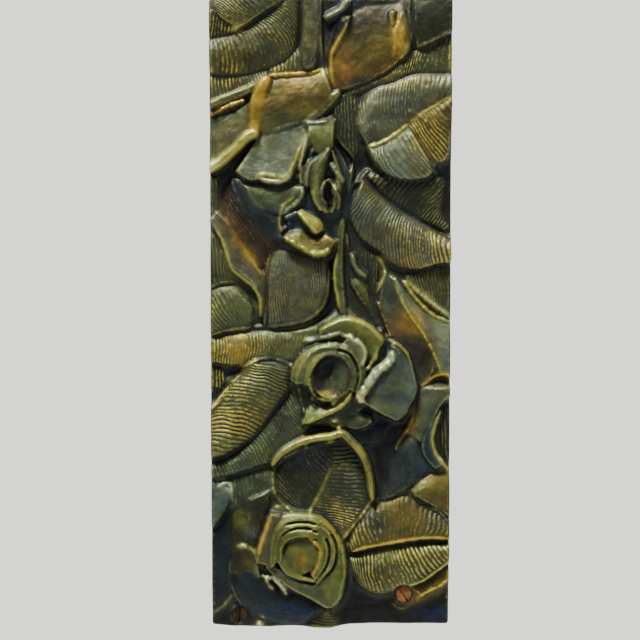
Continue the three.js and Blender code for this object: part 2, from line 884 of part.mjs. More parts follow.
// Round hollows and buds, from the height at their centre to the height at their rim.
const bowls = [
  {
    name: "rose2_heart",
    centre: [-2.2, -22.5],
    ring: { x: -0.4, z: -25, across: 8.4, up: 10.4 },
    low: 5.2,
    high: 12.4,
    power: 0.7,
  },
  {
    name: "bead_upper",
    centre: [1.6, -45],
    ring: { x: 1.6, z: -45, across: 1.9, up: 1.8 },
    low: 9.8,
    high: 6.5,
    power: 2,
  },
  {
    name: "bead_lower",
    centre: [3.6, -48.4],
    ring: { x: 3.6, z: -48.4, across: 1.6, up: 1.4 },
    low: 9.4,
    high: 6.5,
    power: 2,
  },
  {
    name: "rose3_dome",
    centre: [-14, -104.5],
    ring: { x: -13.6, z: -104.8, across: 7.6, up: 8.2 },
    low: 14.2,
    high: 11.2,
    power: 2,
  },
];

function curveThrough(points) {
  const stations = points.map(([x, z]) => new THREE.Vector3(x, 0, z));
  return new THREE.CatmullRomCurve3(stations, false, "catmullrom", 0.5);
}

function stepsAlong(curves) {
  const longest = Math.max(...curves.map((curve) => curve.getLength()));
  const steps = Math.round(longest / STEP_LENGTH);
  return Math.min(MOST_STEPS, Math.max(LEAST_STEPS, steps));
}

const mix = THREE.MathUtils.lerp;

// The geometry's faces as a solid for joining and cutting
function solidFrom(geometry) {
  const bare = geometry.clone();
  bare.deleteAttribute("normal");
  bare.deleteAttribute("uv");
  const merged = mergeVertices(bare, 1e-4);
  return new wasm.Manifold(
    new wasm.Mesh({
      numProp: 3,
      vertProperties: new Float32Array(merged.attributes.position.array),
      triVerts: new Uint32Array(merged.index.array),
      tolerance: JOIN_TOLERANCE,
    }),
  );
}

// A closed solid under a grid of points, each {x, z, h}, that stands on a floor inside the plate
function solidUnderGrid(rows) {
  const count = rows[0].length;
  const positions = [];
  for (const row of rows) {
    for (const p of row) positions.push(p.x, -p.h, p.z);
  }
  for (const row of rows) {
    for (const p of row) positions.push(p.x, -BURIED_DEPTH, p.z);
  }
  const floor = rows.length * count;
  const index = [];
  const quad = (a, b, c, d) => index.push(a, b, c, a, c, d);
  for (let i = 0; i + 1 < rows.length; i++) {
    for (let j = 0; j + 1 < count; j++) {
      const a = i * count + j;
      quad(a, a + 1, a + count + 1, a + count);
      quad(floor + a, floor + a + count, floor + a + count + 1, floor + a + 1);
    }
  }
  for (let j = 0; j + 1 < count; j++) {
    const last = (rows.length - 1) * count + j;
    quad(j, floor + j, floor + j + 1, j + 1);
    quad(last, last + 1, floor + last + 1, floor + last);
  }
  for (let i = 0; i + 1 < rows.length; i++) {
    const first = i * count;
    const last = first + count - 1;
    quad(first, first + count, floor + first + count, floor + first);
    quad(last, floor + last, floor + last + count, last + count);
  }
  const geometry = new THREE.BufferGeometry();
  geometry.setAttribute("position", new THREE.Float32BufferAttribute(positions, 3));
  geometry.setIndex(index);
  return faceOutwards(geometry);
}

// Turns the faces round where the signed volume says that they point inwards
function faceOutwards(geometry) {
  const place = geometry.attributes.position;
  const index = geometry.index.array;
  const a = new THREE.Vector3();
  const b = new THREE.Vector3();
  const c = new THREE.Vector3();
  let volume = 0;
  for (let i = 0; i < index.length; i += 3) {
    a.fromBufferAttribute(place, index[i]);
    b.fromBufferAttribute(place, index[i + 1]);
    c.fromBufferAttribute(place, index[i + 2]);
    volume += a.dot(b.cross(c));
  }
  if (volume < 0) {
    for (let i = 0; i < index.length; i += 3) {
      const keep = index[i + 1];
      index[i + 1] = index[i + 2];
      index[i + 2] = keep;
    }
  }
  return geometry;
}

function leafSolid(leaf) {
  const root = curveThrough(leaf.root);
  const edge = curveThrough(leaf.edge);
  const swell = leaf.swell ?? 0;
  const fall = leaf.fall ?? 1;
  const bow = leaf.bow ?? 0;
  const along = stepsAlong([root, edge]);
  const across = swell || bow || fall !== 1 ? 2 : 1;
  const rows = [];
  for (let i = 0; i <= along; i++) {
    const t = i / along;
    const start = root.getPoint(t);
    const end = edge.getPoint(t);
    const way = root.getTangent(t).add(edge.getTangent(t)).normalize();
    const bend = bow * Math.sin(Math.PI * t);
    const row = [];
    for (let j = 0; j <= across; j++) {
      const s = j / across;
      const middle = 4 * s * (1 - s);
      const low = mix(leaf.rise[0], leaf.rise[1], t);
      const high = mix(leaf.lift[0], leaf.lift[1], t);
      row.push({
        x: mix(start.x, end.x, s) + way.x * bend * middle,
        z: mix(start.z, end.z, s) + way.z * bend * middle,
        h: low + (high - low) * s ** fall + swell * middle,
      });
    }
    rows.push(row);
  }
  return solidFrom(solidUnderGrid(rows));
}

function ridgeSolid(ridge) {
  const line = curveThrough(ridge.line);
  const along = stepsAlong([line]);
  const shoulder = Math.min(2 * ridge.half, 3);
  const section = [
    { side: -1, drop: shoulder },
    { side: -0.35, drop: 0 },
    { side: 0.35, drop: 0 },
    { side: 1, drop: shoulder },
  ];
  const rows = [];
  for (let i = 0; i <= along; i++) {
    const t = i / along;
    const p = line.getPoint(t);
    const way = line.getTangent(t);
    const atEnd = i === 0 || i === along;
    const width = ridge.half * (atEnd ? 0.45 : 1);
    rows.push(
      section.map(({ side, drop }) => ({
        x: p.x - way.z * width * side,
        z: p.z + way.x * width * side,
        h: ridge.top - drop - (atEnd ? 0.6 : 0),
      })),
    );
  }
  return solidFrom(solidUnderGrid(rows));
}

// A round form as a fan of rings about its centre, closed below by a floor inside the plate
function bowlSolid(bowl) {
  const steps = bowl.ring.up > 3 ? RING_STEPS : 6;
  const rings = bowl.ring.up > 3 ? [0.4, 0.75, 1] : [1];
  const [cx, cz] = bowl.centre;
  const positions = [cx, -bowl.low, cz];
  for (const share of rings) {
    for (let i = 0; i < steps; i++) {
      const angle = (2 * Math.PI * i) / steps;
      const x = bowl.ring.x + bowl.ring.across * Math.cos(angle);
      const z = bowl.ring.z + bowl.ring.up * Math.sin(angle);
      const height = bowl.low + (bowl.high - bowl.low) * share ** bowl.power;
      positions.push(mix(cx, x, share), -height, mix(cz, z, share));
    }
  }
  const rim = 1 + (rings.length - 1) * steps;
  const floor = rim + steps;
  for (let i = 0; i < steps; i++) {
    const p = 3 * (rim + i);
    positions.push(positions[p], -BURIED_DEPTH, positions[p + 2]);
  }
  const bottom = floor + steps;
  positions.push(cx, -BURIED_DEPTH, cz);
  const index = [];
  for (let i = 0; i < steps; i++) {
    const n = (i + 1) % steps;
    index.push(0, 1 + i, 1 + n);
    for (let k = 0; k + 1 <= rings.length; k++) {
      const inner = 1 + k * steps;
      const outer = inner + steps;
      index.push(inner + i, outer + i, outer + n, inner + i, outer + n, inner + n);
    }
    index.push(bottom, floor + n, floor + i);
  }
  const geometry = new THREE.BufferGeometry();
  geometry.setAttribute("position", new THREE.Float32BufferAttribute(positions, 3));
  geometry.setIndex(index);
  return solidFrom(faceOutwards(geometry));
}

// The outline of the plate: straight sides, a square top and a bottom edge that wanders a little
function plateOutline() {
  const side = PANEL_WIDTH / 2;
  const top = PANEL_LENGTH / 2;
  const outline = new THREE.Shape();
  outline.moveTo(-side, top);
  outline.lineTo(-side, -top + CORNER_RADIUS);
  outline.quadraticCurveTo(-side, -top, -side + CORNER_RADIUS, -top);
  outline.lineTo(side - CORNER_RADIUS, -top);
  outline.quadraticCurveTo(side, -top, side, -top + CORNER_RADIUS);
  outline.lineTo(side, top);
  outline.closePath();
  return outline;
}

// A prism of the plate's outline that reaches forwards from the back to a given height
function platePrism(height) {
  const geometry = new THREE.ExtrudeGeometry(plateOutline(), {
    depth: height,
    bevelEnabled: false,
    curveSegments: 3,
  });
  geometry.rotateX(Math.PI / 2);
  return solidFrom(geometry);
}

function lathe(profile, sides) {
  const points = profile.map(([radius, height]) => new THREE.Vector2(radius, height));
  return new THREE.LatheGeometry(points, sides);
}

// A screw's boss on the plate: a low flat disc that its seat is cut into
function bossSolid(screw) {
  const profile = [
    [0, -BURIED_DEPTH],
    [BOSS_RADIUS, -BURIED_DEPTH],
    [BOSS_RADIUS - 0.5, -screw.seat],
    [0, -screw.seat],
  ];
  return solidFrom(faceOutwards(lathe(profile, SCREW_SIDES).translate(screw.x, 0, screw.z)));
}

// What is cleared for a screw: its countersunk hole and the room over its head
function holeSolid(screw) {
  const head = SCREW_HEAD_DIAMETER / 2 + SCREW_CLEARANCE;
  const shank = SCREW_SHANK_DIAMETER / 2 + SCREW_CLEARANCE;
  const shoulder = screw.seat - SCREW_HEAD_RIM;
  const profile = [
    [0, 1],
    [shank, 1],
    [shank, head - shank - shoulder],
    [head, -shoulder],
    [head, -RELIEF_LIMIT - 1],
    [0, -RELIEF_LIMIT - 1],
  ];
  return solidFrom(faceOutwards(lathe(profile, SCREW_SIDES).translate(screw.x, 0, screw.z)));
}

// A slotted countersunk screw, drawn with the face of its head at its own origin
function screwSolid() {
  const head = SCREW_HEAD_DIAMETER / 2;
  const shank = SCREW_SHANK_DIAMETER / 2;
  const neck = SCREW_HEAD_RIM + head - shank;
  const profile = [
    [0, 0],
    [head, 0],
    [head, SCREW_HEAD_RIM],
    [shank, neck],
    [shank, SCREW_LENGTH - SCREW_POINT],
    [0, SCREW_LENGTH],
  ];
  const body = solidFrom(faceOutwards(lathe(profile, SCREW_SIDES)));
  const slot = new THREE.BoxGeometry(2 * SCREW_HEAD_DIAMETER, 2 * SLOT_DEPTH, SLOT_WIDTH);
  return body.subtract(solidFrom(slot));
}

function geometryFrom(solid) {
  const mesh = solid.getMesh();
  const geometry = new THREE.BufferGeometry();
  const positions = new THREE.Float32BufferAttribute(mesh.vertProperties, 3);
  geometry.setAttribute("position", positions);
  geometry.setIndex(Array.from(mesh.triVerts));
  geometry.computeVertexNormals();
  return geometry;
}

// The one outer body of a joined solid, with the pinholes shut in between its forms filled
function outerBody(solid) {
  const bodies = solid.decompose();
  return bodies.reduce((most, body) => (body.volume() > most.volume() ? body : most));
}

// The whole carved front, standing on the plate
function carving() {
  let carved = leafSolid(leaves[0]);
  for (const leaf of leaves.slice(1)) carved = carved.add(leafSolid(leaf));
  for (const ridge of ridges) carved = carved.add(ridgeSolid(ridge));
  for (const bowl of bowls) carved = carved.add(bowlSolid(bowl));
  return carved;
}

function casting() {
  let solid = carving().intersect(platePrism(RELIEF_LIMIT)).add(platePrism(PLATE_THICKNESS));
  for (const screw of screws) solid = solid.add(bossSolid(screw)).subtract(holeSolid(screw));
  return outerBody(solid);
}

const bronze = new THREE.MeshStandardMaterial({
  color: 0x5a5a3e,
  roughness: 0.5,
  metalness: 0.85,
});

const panel = new THREE.Group();
panel.name = "bronze_relief_panel";

const relief = new THREE.Mesh(geometryFrom(casting()), bronze);
relief.name = "relief_panel";
panel.add(relief);

for (const screw of screws) {
  const metal = new THREE.MeshStandardMaterial({
    color: screw.colour,
    roughness: 0.45,
    metalness: 0.9,
  });
  const mesh = new THREE.Mesh(geometryFrom(screwSolid()), metal);
  mesh.name = screw.name;
  mesh.position.set(screw.x, -screw.seat, screw.z);
  mesh.rotation.y = -THREE.MathUtils.degToRad(screw.slotAngle);
  panel.add(mesh);
}

export default panel;
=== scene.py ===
import math
from dataclasses import dataclass

import bpy
import numpy as np
from bpy.props import FloatProperty, FloatVectorProperty, IntProperty, PointerProperty
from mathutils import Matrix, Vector


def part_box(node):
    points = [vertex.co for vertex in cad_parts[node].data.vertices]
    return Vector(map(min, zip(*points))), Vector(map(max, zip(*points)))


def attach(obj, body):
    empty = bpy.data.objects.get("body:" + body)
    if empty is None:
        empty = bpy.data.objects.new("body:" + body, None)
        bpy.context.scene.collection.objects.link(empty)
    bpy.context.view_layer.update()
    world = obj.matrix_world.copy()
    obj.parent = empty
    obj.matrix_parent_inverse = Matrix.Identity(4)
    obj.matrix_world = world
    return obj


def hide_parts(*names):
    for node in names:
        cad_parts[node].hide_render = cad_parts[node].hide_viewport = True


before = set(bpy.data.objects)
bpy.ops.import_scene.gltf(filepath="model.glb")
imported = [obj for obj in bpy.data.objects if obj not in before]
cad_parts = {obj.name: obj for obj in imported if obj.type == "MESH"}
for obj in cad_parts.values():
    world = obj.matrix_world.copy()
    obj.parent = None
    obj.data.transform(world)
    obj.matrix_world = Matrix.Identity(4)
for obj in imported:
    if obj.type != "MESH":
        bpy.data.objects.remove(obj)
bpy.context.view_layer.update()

bl_info = {
    "name": "Rose relief panel",
    "version": (1, 0, 0),
    "blender": (4, 5, 0),
    "location": "View3D > Sidebar > Relief",
    "description": "Cast bronze panel of roses and leaves, with the screws that hold it",
    "category": "Add Mesh",
}

MM = 0.001
LOW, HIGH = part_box("relief_panel")
PANEL_WIDTH = (HIGH[0] - LOW[0]) / MM
PANEL_LENGTH = (HIGH[2] - LOW[2]) / MM
RELIEF_DEPTH = (HIGH[1] - LOW[1]) / MM


# Forms of the carving. Places are (x, z) and heights are from the back, all in millimetres.


@dataclass
class Leaf:
    """A leaf half, petal or web, drawn from its root curve to its edge curve."""

    name: str
    root: list
    edge: list
    rise: tuple
    lift: tuple
    swell: float = 0.0
    fall: float = 1.0
    bow: float = 0.0
    veins: float = 0.0
    cut: float = 0.0
    lip: float = 0.0
    notch: float = 0.0
    pad: float = 0.5
    lines: float = 0.0
    tone: str = ""


@dataclass
class Ridge:
    """A rolled rim, seam, fold or stem along a line."""

    name: str
    line: list
    half: float
    top: float
    proud: float = 0.0
    tone: str = ""
    crumple: float = 0.0
    flat: bool = False
    lines: float = 0.0


@dataclass
class Bowl:
    """A round hollow or bud, from the height at its centre to the height at its ring."""

    name: str
    centre: tuple
    ring: tuple
    low: float
    high: float
    power: float = 1.0
    tone: str = ""


# Sizes of the clay model and its mesh, in millimetres
CELL = 0.2
TRIANGLE_LIMIT = 194000
CORNER_RADIUS = 1.0
FOOT_BLEND = 9.0
SEAM_HALF = 1.15
SEAM_RISE = 0.2
GAP_REACH = 1.8
GAP_DEPTH = 0.9
LINE_DEPTH = 0.05
FOOT_LINE = [-137.4, -138.2, -138.4, -138.5, -138.0, -138.4, -138.5, -137.4, -137.0, -137.0, -137.1, -137.0, -137.2]

# Sizes of the countersunk wood screws, in millimetres
HEAD_RADIUS = 3.4
HEAD_RIM = 0.5
SHANK_RADIUS = 1.75
SCREW_LENGTH = 19.0
SCREW_POINT = 3.0
PLAIN_SHANK = 6.5
THREAD_CORE = 1.25
THREAD_PITCH = 1.6
SLOT_WIDTH = 0.9
SLOT_DEPTH = 1.1
BOSS_RADIUS = 5.2


@dataclass
class Screw:
    """A screw's place on the front, the height of its face and the angle of its slot."""

    name: str
    node: str
    slot: str
    x: float
    z: float
    seat: float
    slot_angle: float
    bright: tuple
    dark: tuple


SCREWS = [
    Screw("right_screw", "screw_right", "copper_screw", 32.5, -123.7, 4.4, -58,
          bright=(0.5, 0.22, 0.08), dark=(0.16, 0.06, 0.03)),
    # The left screw's colours are far darker than the right one's: brown tarnish together with painted shade, as it
    # sits in shadow beside the bottom petal
    Screw("left_screw", "screw_left", "dark_screw", -40.3, -132.7, 4.4, 90,
          bright=(0.07, 0.045, 0.028), dark=(0.02, 0.014, 0.01)),
]


@dataclass
class Place:
    """A stained, dusty or rubbed place, some of them painted shade and painted highlight: its middle, its half
    sizes, its turn and its strength.
    """

    kind: str
    x: float
    z: float
    across: float
    up: float
    turn: float = 0.0
    strength: float = 1.0


FORMS = [
    # Ground beneath the forms
    Leaf("rose1_ground",
         root=[(-19, 47), (-14, 58), (-11, 70), (-5, 80)],
         edge=[(-14, 33), (0, 31), (8, 44), (9.5, 60), (1, 79)],
         rise=(6, 7), lift=(6.6, 7), swell=0.6, tone="slate"),
    Leaf("rose2_ground",
         root=[(-15, -46), (-16.5, -34), (-18, -22), (-12, -9)],
         edge=[(2, -47), (16, -39), (26, -24), (25, -8)],
         rise=(6.6, 7.4), lift=(6.8, 7.6), swell=1, tone="dark"),
    Leaf("rose2_upper_ground",
         root=[(-20, -6.5), (-8, -4.5), (2, 0.5), (6, 6)],
         edge=[(-17, -21), (0, -14), (14, -12), (24, -10)],
         rise=(6.4, 7), lift=(8, 7.6), tone="olive"),
    Leaf("rose3_ground",
         root=[(-31, -112), (-29, -98), (-26, -84), (-12, -85)],
         edge=[(-10, -124), (2, -128), (5, -110), (2, -92)],
         rise=(8, 7.6), lift=(8.4, 8), swell=0.6, tone="moss"),
    Leaf("stem_ground",
         root=[(3, 2), (2.6, 20), (3.6, 36), (7, 58)],
         edge=[(26, -8), (23, 12), (13, 34), (13, 58)],
         rise=(5.2, 5.2), lift=(4.8, 4.8), swell=0.3, tone="dark"),
    # Low forms in the darkest tone: painted shadow under petals and rims and in the hollow beside the second rose
    Leaf("petal_shadow",
         root=[(6, -36), (12, -38.4), (20, -43), (29, -47)],
         edge=[(5, -41), (12, -42), (20, -45.4), (28, -49)],
         rise=(4.2, 4.4), lift=(4.4, 4.4), tone="painted_shade"),
    Leaf("hollow_shadow",
         root=[(17.5, -50), (20, -60), (20, -70), (19, -80)],
         edge=[(35, -47), (30, -56), (27, -64), (24, -73)],
         rise=(4, 4), lift=(4.2, 4.2), tone="painted_shade"),
    Leaf("cup_shadow",
         root=[(-54, 64), (-46, 67), (-38, 73), (-31, 79.6)],
         edge=[(-54, 57), (-46, 60), (-41, 63.6), (-32, 77)],
         rise=(4, 4.2), lift=(4, 4.6), tone="painted_shade"),
    Leaf("hanging_shadow",
         root=[(1.2, 80), (4.4, 74.6), (9, 69.4)],
         edge=[(0.6, 74), (2.4, 69), (8.8, 64)],
         rise=(4.4, 4.4), lift=(4.4, 4.4), tone="painted_shade"),
    # Top left
    Leaf("corner_leaf_upper",
         root=[(-53, 133.5), (-50, 138.5), (-43, 142), (-32, 145)],
         edge=[(-40, 125), (-35.5, 127.5), (-30.5, 131), (-17, 139.5)],
         rise=(7, 7), lift=(9, 9.5), swell=1.7, veins=17, cut=0.35),
    Leaf("corner_leaf_lower",
         root=[(-53, 133.5), (-46, 131.3), (-40, 125.3)],
         edge=[(-53, 120.5), (-47, 121.5), (-41, 124)],
         rise=(8, 8.8), lift=(6.4, 7.4), swell=0.7, veins=9, cut=0.3, tone="dark"),
    Leaf("broad_leaf",
         root=[(-54, 121), (-40, 126), (-30, 133), (-20, 140)],
         edge=[(-54, 106), (-42, 105.3), (-28, 107.8), (-17, 114), (-13, 125), (-13, 140)],
         rise=(5.6, 6), lift=(5.2, 5.2), swell=3.3, fall=1.5, bow=3, veins=30, cut=0.28),
    Leaf("narrow_leaf",
         root=[(-27, 109), (-20, 112), (-14, 117.5), (-10, 121)],
         edge=[(-27, 105.8), (-20, 106.3), (-12, 107.3), (-9.5, 107.8)],
         rise=(4.8, 5.2), lift=(5.8, 6.2), swell=0.7, veins=12, cut=0.3, tone="olive"),
    Ridge("rolled_strip",
          line=[(-8.6, 143), (-8.2, 132), (-8.4, 121), (-10, 108)],
          half=3.6, top=8.2, tone="stone", flat=True, lines=1),
    Ridge("rolled_strip_edge",
          line=[(-4.6, 140), (-4.5, 128), (-4.2, 118), (-3.4, 109)],
          half=0.6, top=7, tone="stone"),
    Leaf("pointed_fold",
         root=[(-10, 108), (-9, 113), (-7, 120)],
         edge=[(-3.2, 108), (-4.2, 113), (-5.5, 120)],
         rise=(6.2, 6.2), lift=(5.6, 5.6), swell=-0.8, tone="dark"),
    Leaf("short_veined_band",
         root=[(-54, 106.5), (-40, 106), (-28, 108.5)],
         edge=[(-54, 93), (-44, 96), (-34, 100), (-27, 104.5)],
         rise=(4.4, 4.6), lift=(5.6, 6), swell=0.7, veins=18, cut=0.35),
    Ridge("upper_ridge",
          line=[(-54, 92), (-45, 95.4), (-35, 99.4), (-28.5, 103.4)],
          half=1.9, top=7.4, tone="olive", flat=True),
    Leaf("cup",
         root=[(-54, 72), (-53, 81), (-50, 87.5), (-44, 91), (-36, 94.3)],
         edge=[(-52, 66), (-47, 67.8), (-41, 73.5), (-36.8, 79.5), (-33.5, 92)],
         rise=(4.2, 4.2), lift=(9.6, 8.6), swell=0.8, fall=1.2, lines=7, tone="olive"),
    Ridge("smooth_leaf_top",
          line=[(-30, 104), (-25, 105.2), (-18, 105.7), (-10, 106.2), (-4, 107.6)],
          half=0.9, top=7.8, proud=0.6, tone="gold"),
    Ridge("cup_lip",
          line=[(-55, 87.6), (-50, 89.4), (-44, 92.2), (-37, 94.8)],
          half=1, top=8.8, proud=0.8, tone="gold"),
    Ridge("cup_rim",
          line=[(-56, 64), (-50, 66.4), (-45, 70.4), (-40, 75), (-36, 79), (-31, 80.4)],
          half=2, top=10.2, tone="straw", flat=True),
    Ridge("folded_ridge",
          line=[(-27, 104.6), (-30.4, 98), (-32.2, 91), (-33, 84), (-33.6, 79.6)],
          half=2.7, top=9, tone="gold", flat=True),
    Leaf("smooth_leaf",
         root=[(-28, 104), (-22, 104.6), (-11, 105.3), (-2.5, 107.5)],
         edge=[(-31, 80), (-22, 82.3), (-12, 85.2), (-5, 88), (1, 97)],
         rise=(5.2, 5.6), lift=(7.8, 8), swell=2, lines=10, tone="ochre"),
    Ridge("smooth_leaf_seam",
          line=[(-30, 80.2), (-22, 82.3), (-15, 84.7), (-8, 85.3)],
          half=0.6, top=8.6, tone="dark"),
    Ridge("diagonal_band",
          line=[(-12, 83.5), (-7, 87.4), (-2, 92.4), (4, 98.5)],
          half=2, top=8.8, tone="olive", flat=True),
    Ridge("left_seam", [(-3.6, 109), (-2.4, 103), (0.5, 96.5)], half=0.8, top=7.6, tone="straw"),
    # Top right
    # The gold hollow's left side, in the darkest tone: painted shade
    Leaf("hollow_side",
         root=[(-1.5, 112), (-0.5, 118), (1, 124), (3, 130)],
         edge=[(0.6, 113), (2.6, 118.5), (5.5, 123.5), (8.5, 130.5)],
         rise=(5.4, 5.4), lift=(9, 9), swell=0.3, tone="painted_shade"),
    Ridge("hollow_left_rim",
          line=[(9, 131), (6.2, 125), (3, 119.3), (0.7, 114.5), (0.3, 109), (0.6, 104), (2.2, 99)],
          half=0.6, top=9.8, tone="gold"),
    Ridge("small_tip", [(-3, 129.3), (1.5, 131.6), (5, 133.5), (8, 138)], half=1.6, top=7.4, tone="stone"),
    Leaf("gold_hollow",
         root=[(9.5, 132.5), (15, 135.5), (22, 136), (29, 136.8), (33, 141)],
         edge=[(0.8, 113), (2, 99.5), (12, 101), (23, 106.2), (29.5, 111.5), (33.8, 119), (34.2, 131)],
         rise=(3.4, 3.4), lift=(7.2, 7.2), swell=1.6, fall=0.75, lines=6, tone="ochre"),
    Ridge("hollow_wrinkle",
          line=[(24, 129), (26.5, 125), (28, 121), (27.6, 116), (27, 112.5)],
          half=0.8, top=8.7, tone="gold"),
    Ridge("hollow_wrinkle_upper",
          line=[(30.8, 132), (29.4, 127.5), (28.2, 123)],
          half=0.7, top=8.9, tone="gold"),
    Ridge("hollow_lobe", [(27, 133), (26.2, 130), (26.6, 126.5)], half=1.4, top=8.2, tone="stone"),
    Ridge("right_fold",
          line=[(34.4, 141), (33.8, 132), (34.8, 124), (33.6, 118), (30, 112)],
          half=1.5, top=8, tone="dark"),
    Leaf("dark_leaf",
         root=[(35, 142), (44, 144), (55, 145)],
         edge=[(37, 117), (41, 118.6), (47, 121.5), (55, 126)],
         rise=(6, 6), lift=(7.4, 7.6), swell=1.9, lines=8, tone="dark"),
    Ridge("dark_leaf_edge",
          line=[(37.5, 117.6), (42, 119.3), (47, 121.8), (54.5, 126)],
          half=0.7, top=8.4, tone="umber"),
    Leaf("upper_veined_band",
         root=[(4, 98), (14, 102.5), (24, 107), (30, 112.8), (36, 117), (45, 120.5), (55, 125)],
         edge=[(5, 95), (12, 97.8), (20, 100.3), (27, 101.7), (33, 104.6), (40, 105.8), (55, 105.6)],
         rise=(4.6, 4.8), lift=(5.6, 5.6), swell=1, veins=32, cut=0.32),
    Leaf("fan_upper",
         root=[(16.3, 74.7), (17.5, 75), (20, 75.6), (24, 77.3), (28.5, 80.2), (33.5, 84), (39, 88.5),
               (45, 92), (55, 98)],
         edge=[(15, 76), (11, 84), (13.5, 93), (20, 99.6), (27, 101.5), (33, 104.3), (38, 105.5),
               (46, 105.5), (55, 105.5)],
         rise=(8.4, 8), lift=(7, 6.4), swell=1.6, bow=-2, veins=32, cut=0.28, tone="stone"),
    Leaf("fan_lower",
         root=[(16.5, 74.3), (18, 74.6), (20, 75), (22.5, 76), (26, 78.3), (30, 81.2), (33, 83.5)],
         edge=[(18.2, 70.8), (20.4, 66.6), (24, 62.8), (31, 60.4), (39.5, 60.6), (43.8, 63), (43.3, 67.8)],
         rise=(8.4, 8.2), lift=(9.4, 9.8), swell=2.3, bow=-2.6, veins=15, cut=0.42, tone="ash"),
    Leaf("fan_lower_far",
         root=[(33, 83.5), (37, 87), (41, 90), (46, 92.5), (55, 98)],
         edge=[(43.2, 68.2), (49.6, 69.5), (51, 79), (52.2, 88), (55, 95)],
         rise=(8.2, 8), lift=(9, 8.2), swell=1.5, bow=-1.2, veins=15, cut=0.38, tone="ochre"),
    Ridge("fan_midrib",
          line=[(15.5, 74.3), (20, 75.2), (25, 77.6), (30, 81.2), (34, 84.3)],
          half=0.9, top=10, tone="straw"),
    Ridge("fan_midrib_far", [(34, 84.5), (40, 89), (46, 92.5), (55, 98)], half=0.8, top=8.7, tone="straw"),
    Ridge("fan_fold", [(33, 90.5), (37, 88.3), (41, 85.5), (44.5, 82.3)], half=0.9, top=9.8, tone="ochre"),
    Leaf("hanging_leaf",
         root=[(1, 97.5), (5, 98.2), (9, 98), (13, 95)],
         edge=[(1.5, 80.5), (5, 75.2), (9.5, 70), (14, 74.5)],
         rise=(5.4, 5.4), lift=(7, 6), swell=1.3, veins=8, cut=0.35, tone="dark"),
    Ridge("hanging_leaf_edge",
          line=[(1.2, 80.6), (5.3, 75), (9.8, 69.5), (9, 62), (7.6, 54)],
          half=0.6, top=7.9, tone="dark"),
    Ridge("small_brown_ridge", [(16.8, 64.5), (13, 60), (9, 56), (7, 49)], half=1.2, top=6.4, tone="umber"),
    # First rose
    Leaf("rose1_left_petal",
         root=[(-31, 80), (-26, 81.4), (-20, 83), (-14, 84.4), (-10, 84)],
         edge=[(-41.6, 63.6), (-34.6, 59.9), (-28, 61.8), (-21.6, 60.6), (-17, 64.6), (-14.6, 70.5),
               (-12, 76.5)],
         rise=(7, 8.2), lift=(10, 10.8), swell=-0.4, fall=1.2, lines=13, tone="ash"),
    Ridge("rose1_petal_rim",
          line=[(-33, 60.4), (-30.6, 62), (-28, 62.4), (-24, 61.6), (-21, 61), (-18, 63.2), (-15.6, 68),
                (-13.6, 73), (-12, 76)],
          half=0.8, top=11.2, proud=0.6, tone="straw"),
    Ridge("rose1_white_lip",
          line=[(-31, 61.2), (-28.4, 60.1), (-25, 59.5), (-22, 59.6), (-19, 60.9), (-16.6, 64)],
          half=0.8, top=10.6, proud=1.1, tone="pale_wear_and_highlight"),
    Ridge("rose1_petal_side_line",
          line=[(-14.8, 60.4), (-13.8, 65), (-12.6, 70), (-11.2, 75), (-10, 80.4)],
          half=0.7, top=9.8, proud=1, tone="pale_wear_and_highlight"),
    Ridge("rose1_side_fold",
          line=[(-10.7, 57), (-11.2, 62), (-10, 68), (-7.6, 73.4), (-6.6, 78)],
          half=0.8, top=9.2, proud=0.9, tone="ash"),
    Ridge("rose1_side_fold_inner",
          line=[(-12.6, 58), (-13, 62), (-12, 66.6)],
          half=0.6, top=8.6, proud=0.7, tone="ash"),
    Leaf("rose1_lower_petal",
         root=[(-38, 59.6), (-30, 59), (-20, 59), (-12.2, 58)],
         edge=[(-36.8, 56), (-33.4, 51), (-28.6, 47.4), (-22.6, 46), (-17.4, 48.4), (-13, 53.4), (-12, 56)],
         rise=(6.2, 6.4), lift=(8.6, 9), swell=1.2, lines=7, tone="leaf"),
    Ridge("rose1_curled_rim",
          line=[(-11.6, 57.4), (-12.8, 53), (-15.5, 49.6), (-18.6, 47.4), (-20.8, 45.2)],
          half=0.9, top=9.8, proud=0.7, tone="ash"),
    Ridge("rose1_yellow_rim",
          line=[(-15, 53.4), (-18, 51), (-20.8, 48.4), (-22, 45), (-22.3, 41), (-21, 37.4)],
          half=0.9, top=9.6, proud=0.7, tone="straw"),
    Ridge("rose1_lower_rim",
          line=[(-36.6, 57), (-34.2, 52.6), (-31.4, 49.2), (-28, 47.4)],
          half=0.7, top=8.8, proud=0.5, tone="ash"),
    Leaf("rose1_body",
         root=[(-38, 60), (-31, 50), (-24, 45), (-21.6, 37)],
         edge=[(-43.6, 61), (-41, 54), (-38.4, 47.6), (-34.6, 40.6), (-28, 34.6), (-20, 32)],
         rise=(7.6, 7.8), lift=(5, 4.8), swell=1.1, fall=1.6, lines=9, tone="slate"),
    Ridge("rose1_body_rim",
          line=[(-43, 60.4), (-41.2, 54), (-38.6, 48), (-35.4, 42.4), (-32, 38.4)],
          half=0.6, top=7, proud=0.5, tone="slate"),
    Leaf("rose1_small_hollow",
         root=[(-20, 44), (-17, 44), (-14, 45)],
         edge=[(-20.4, 36.6), (-16, 36.4), (-9, 38.4)],
         rise=(6.4, 6.4), lift=(6.2, 6.2), swell=0.4, tone="slate"),
    Leaf("rose1_bottom_lip",
         root=[(-18.6, 37.6), (-13, 38.4), (-8, 35.6), (-2, 36.6)],
         edge=[(-20.6, 35), (-15, 31.9), (-10.6, 29.3), (-7, 27.6), (-2, 28.6), (3, 33.5)],
         rise=(7.4, 8.6), lift=(11, 10.4), swell=0.6, lines=4, tone="ochre"),
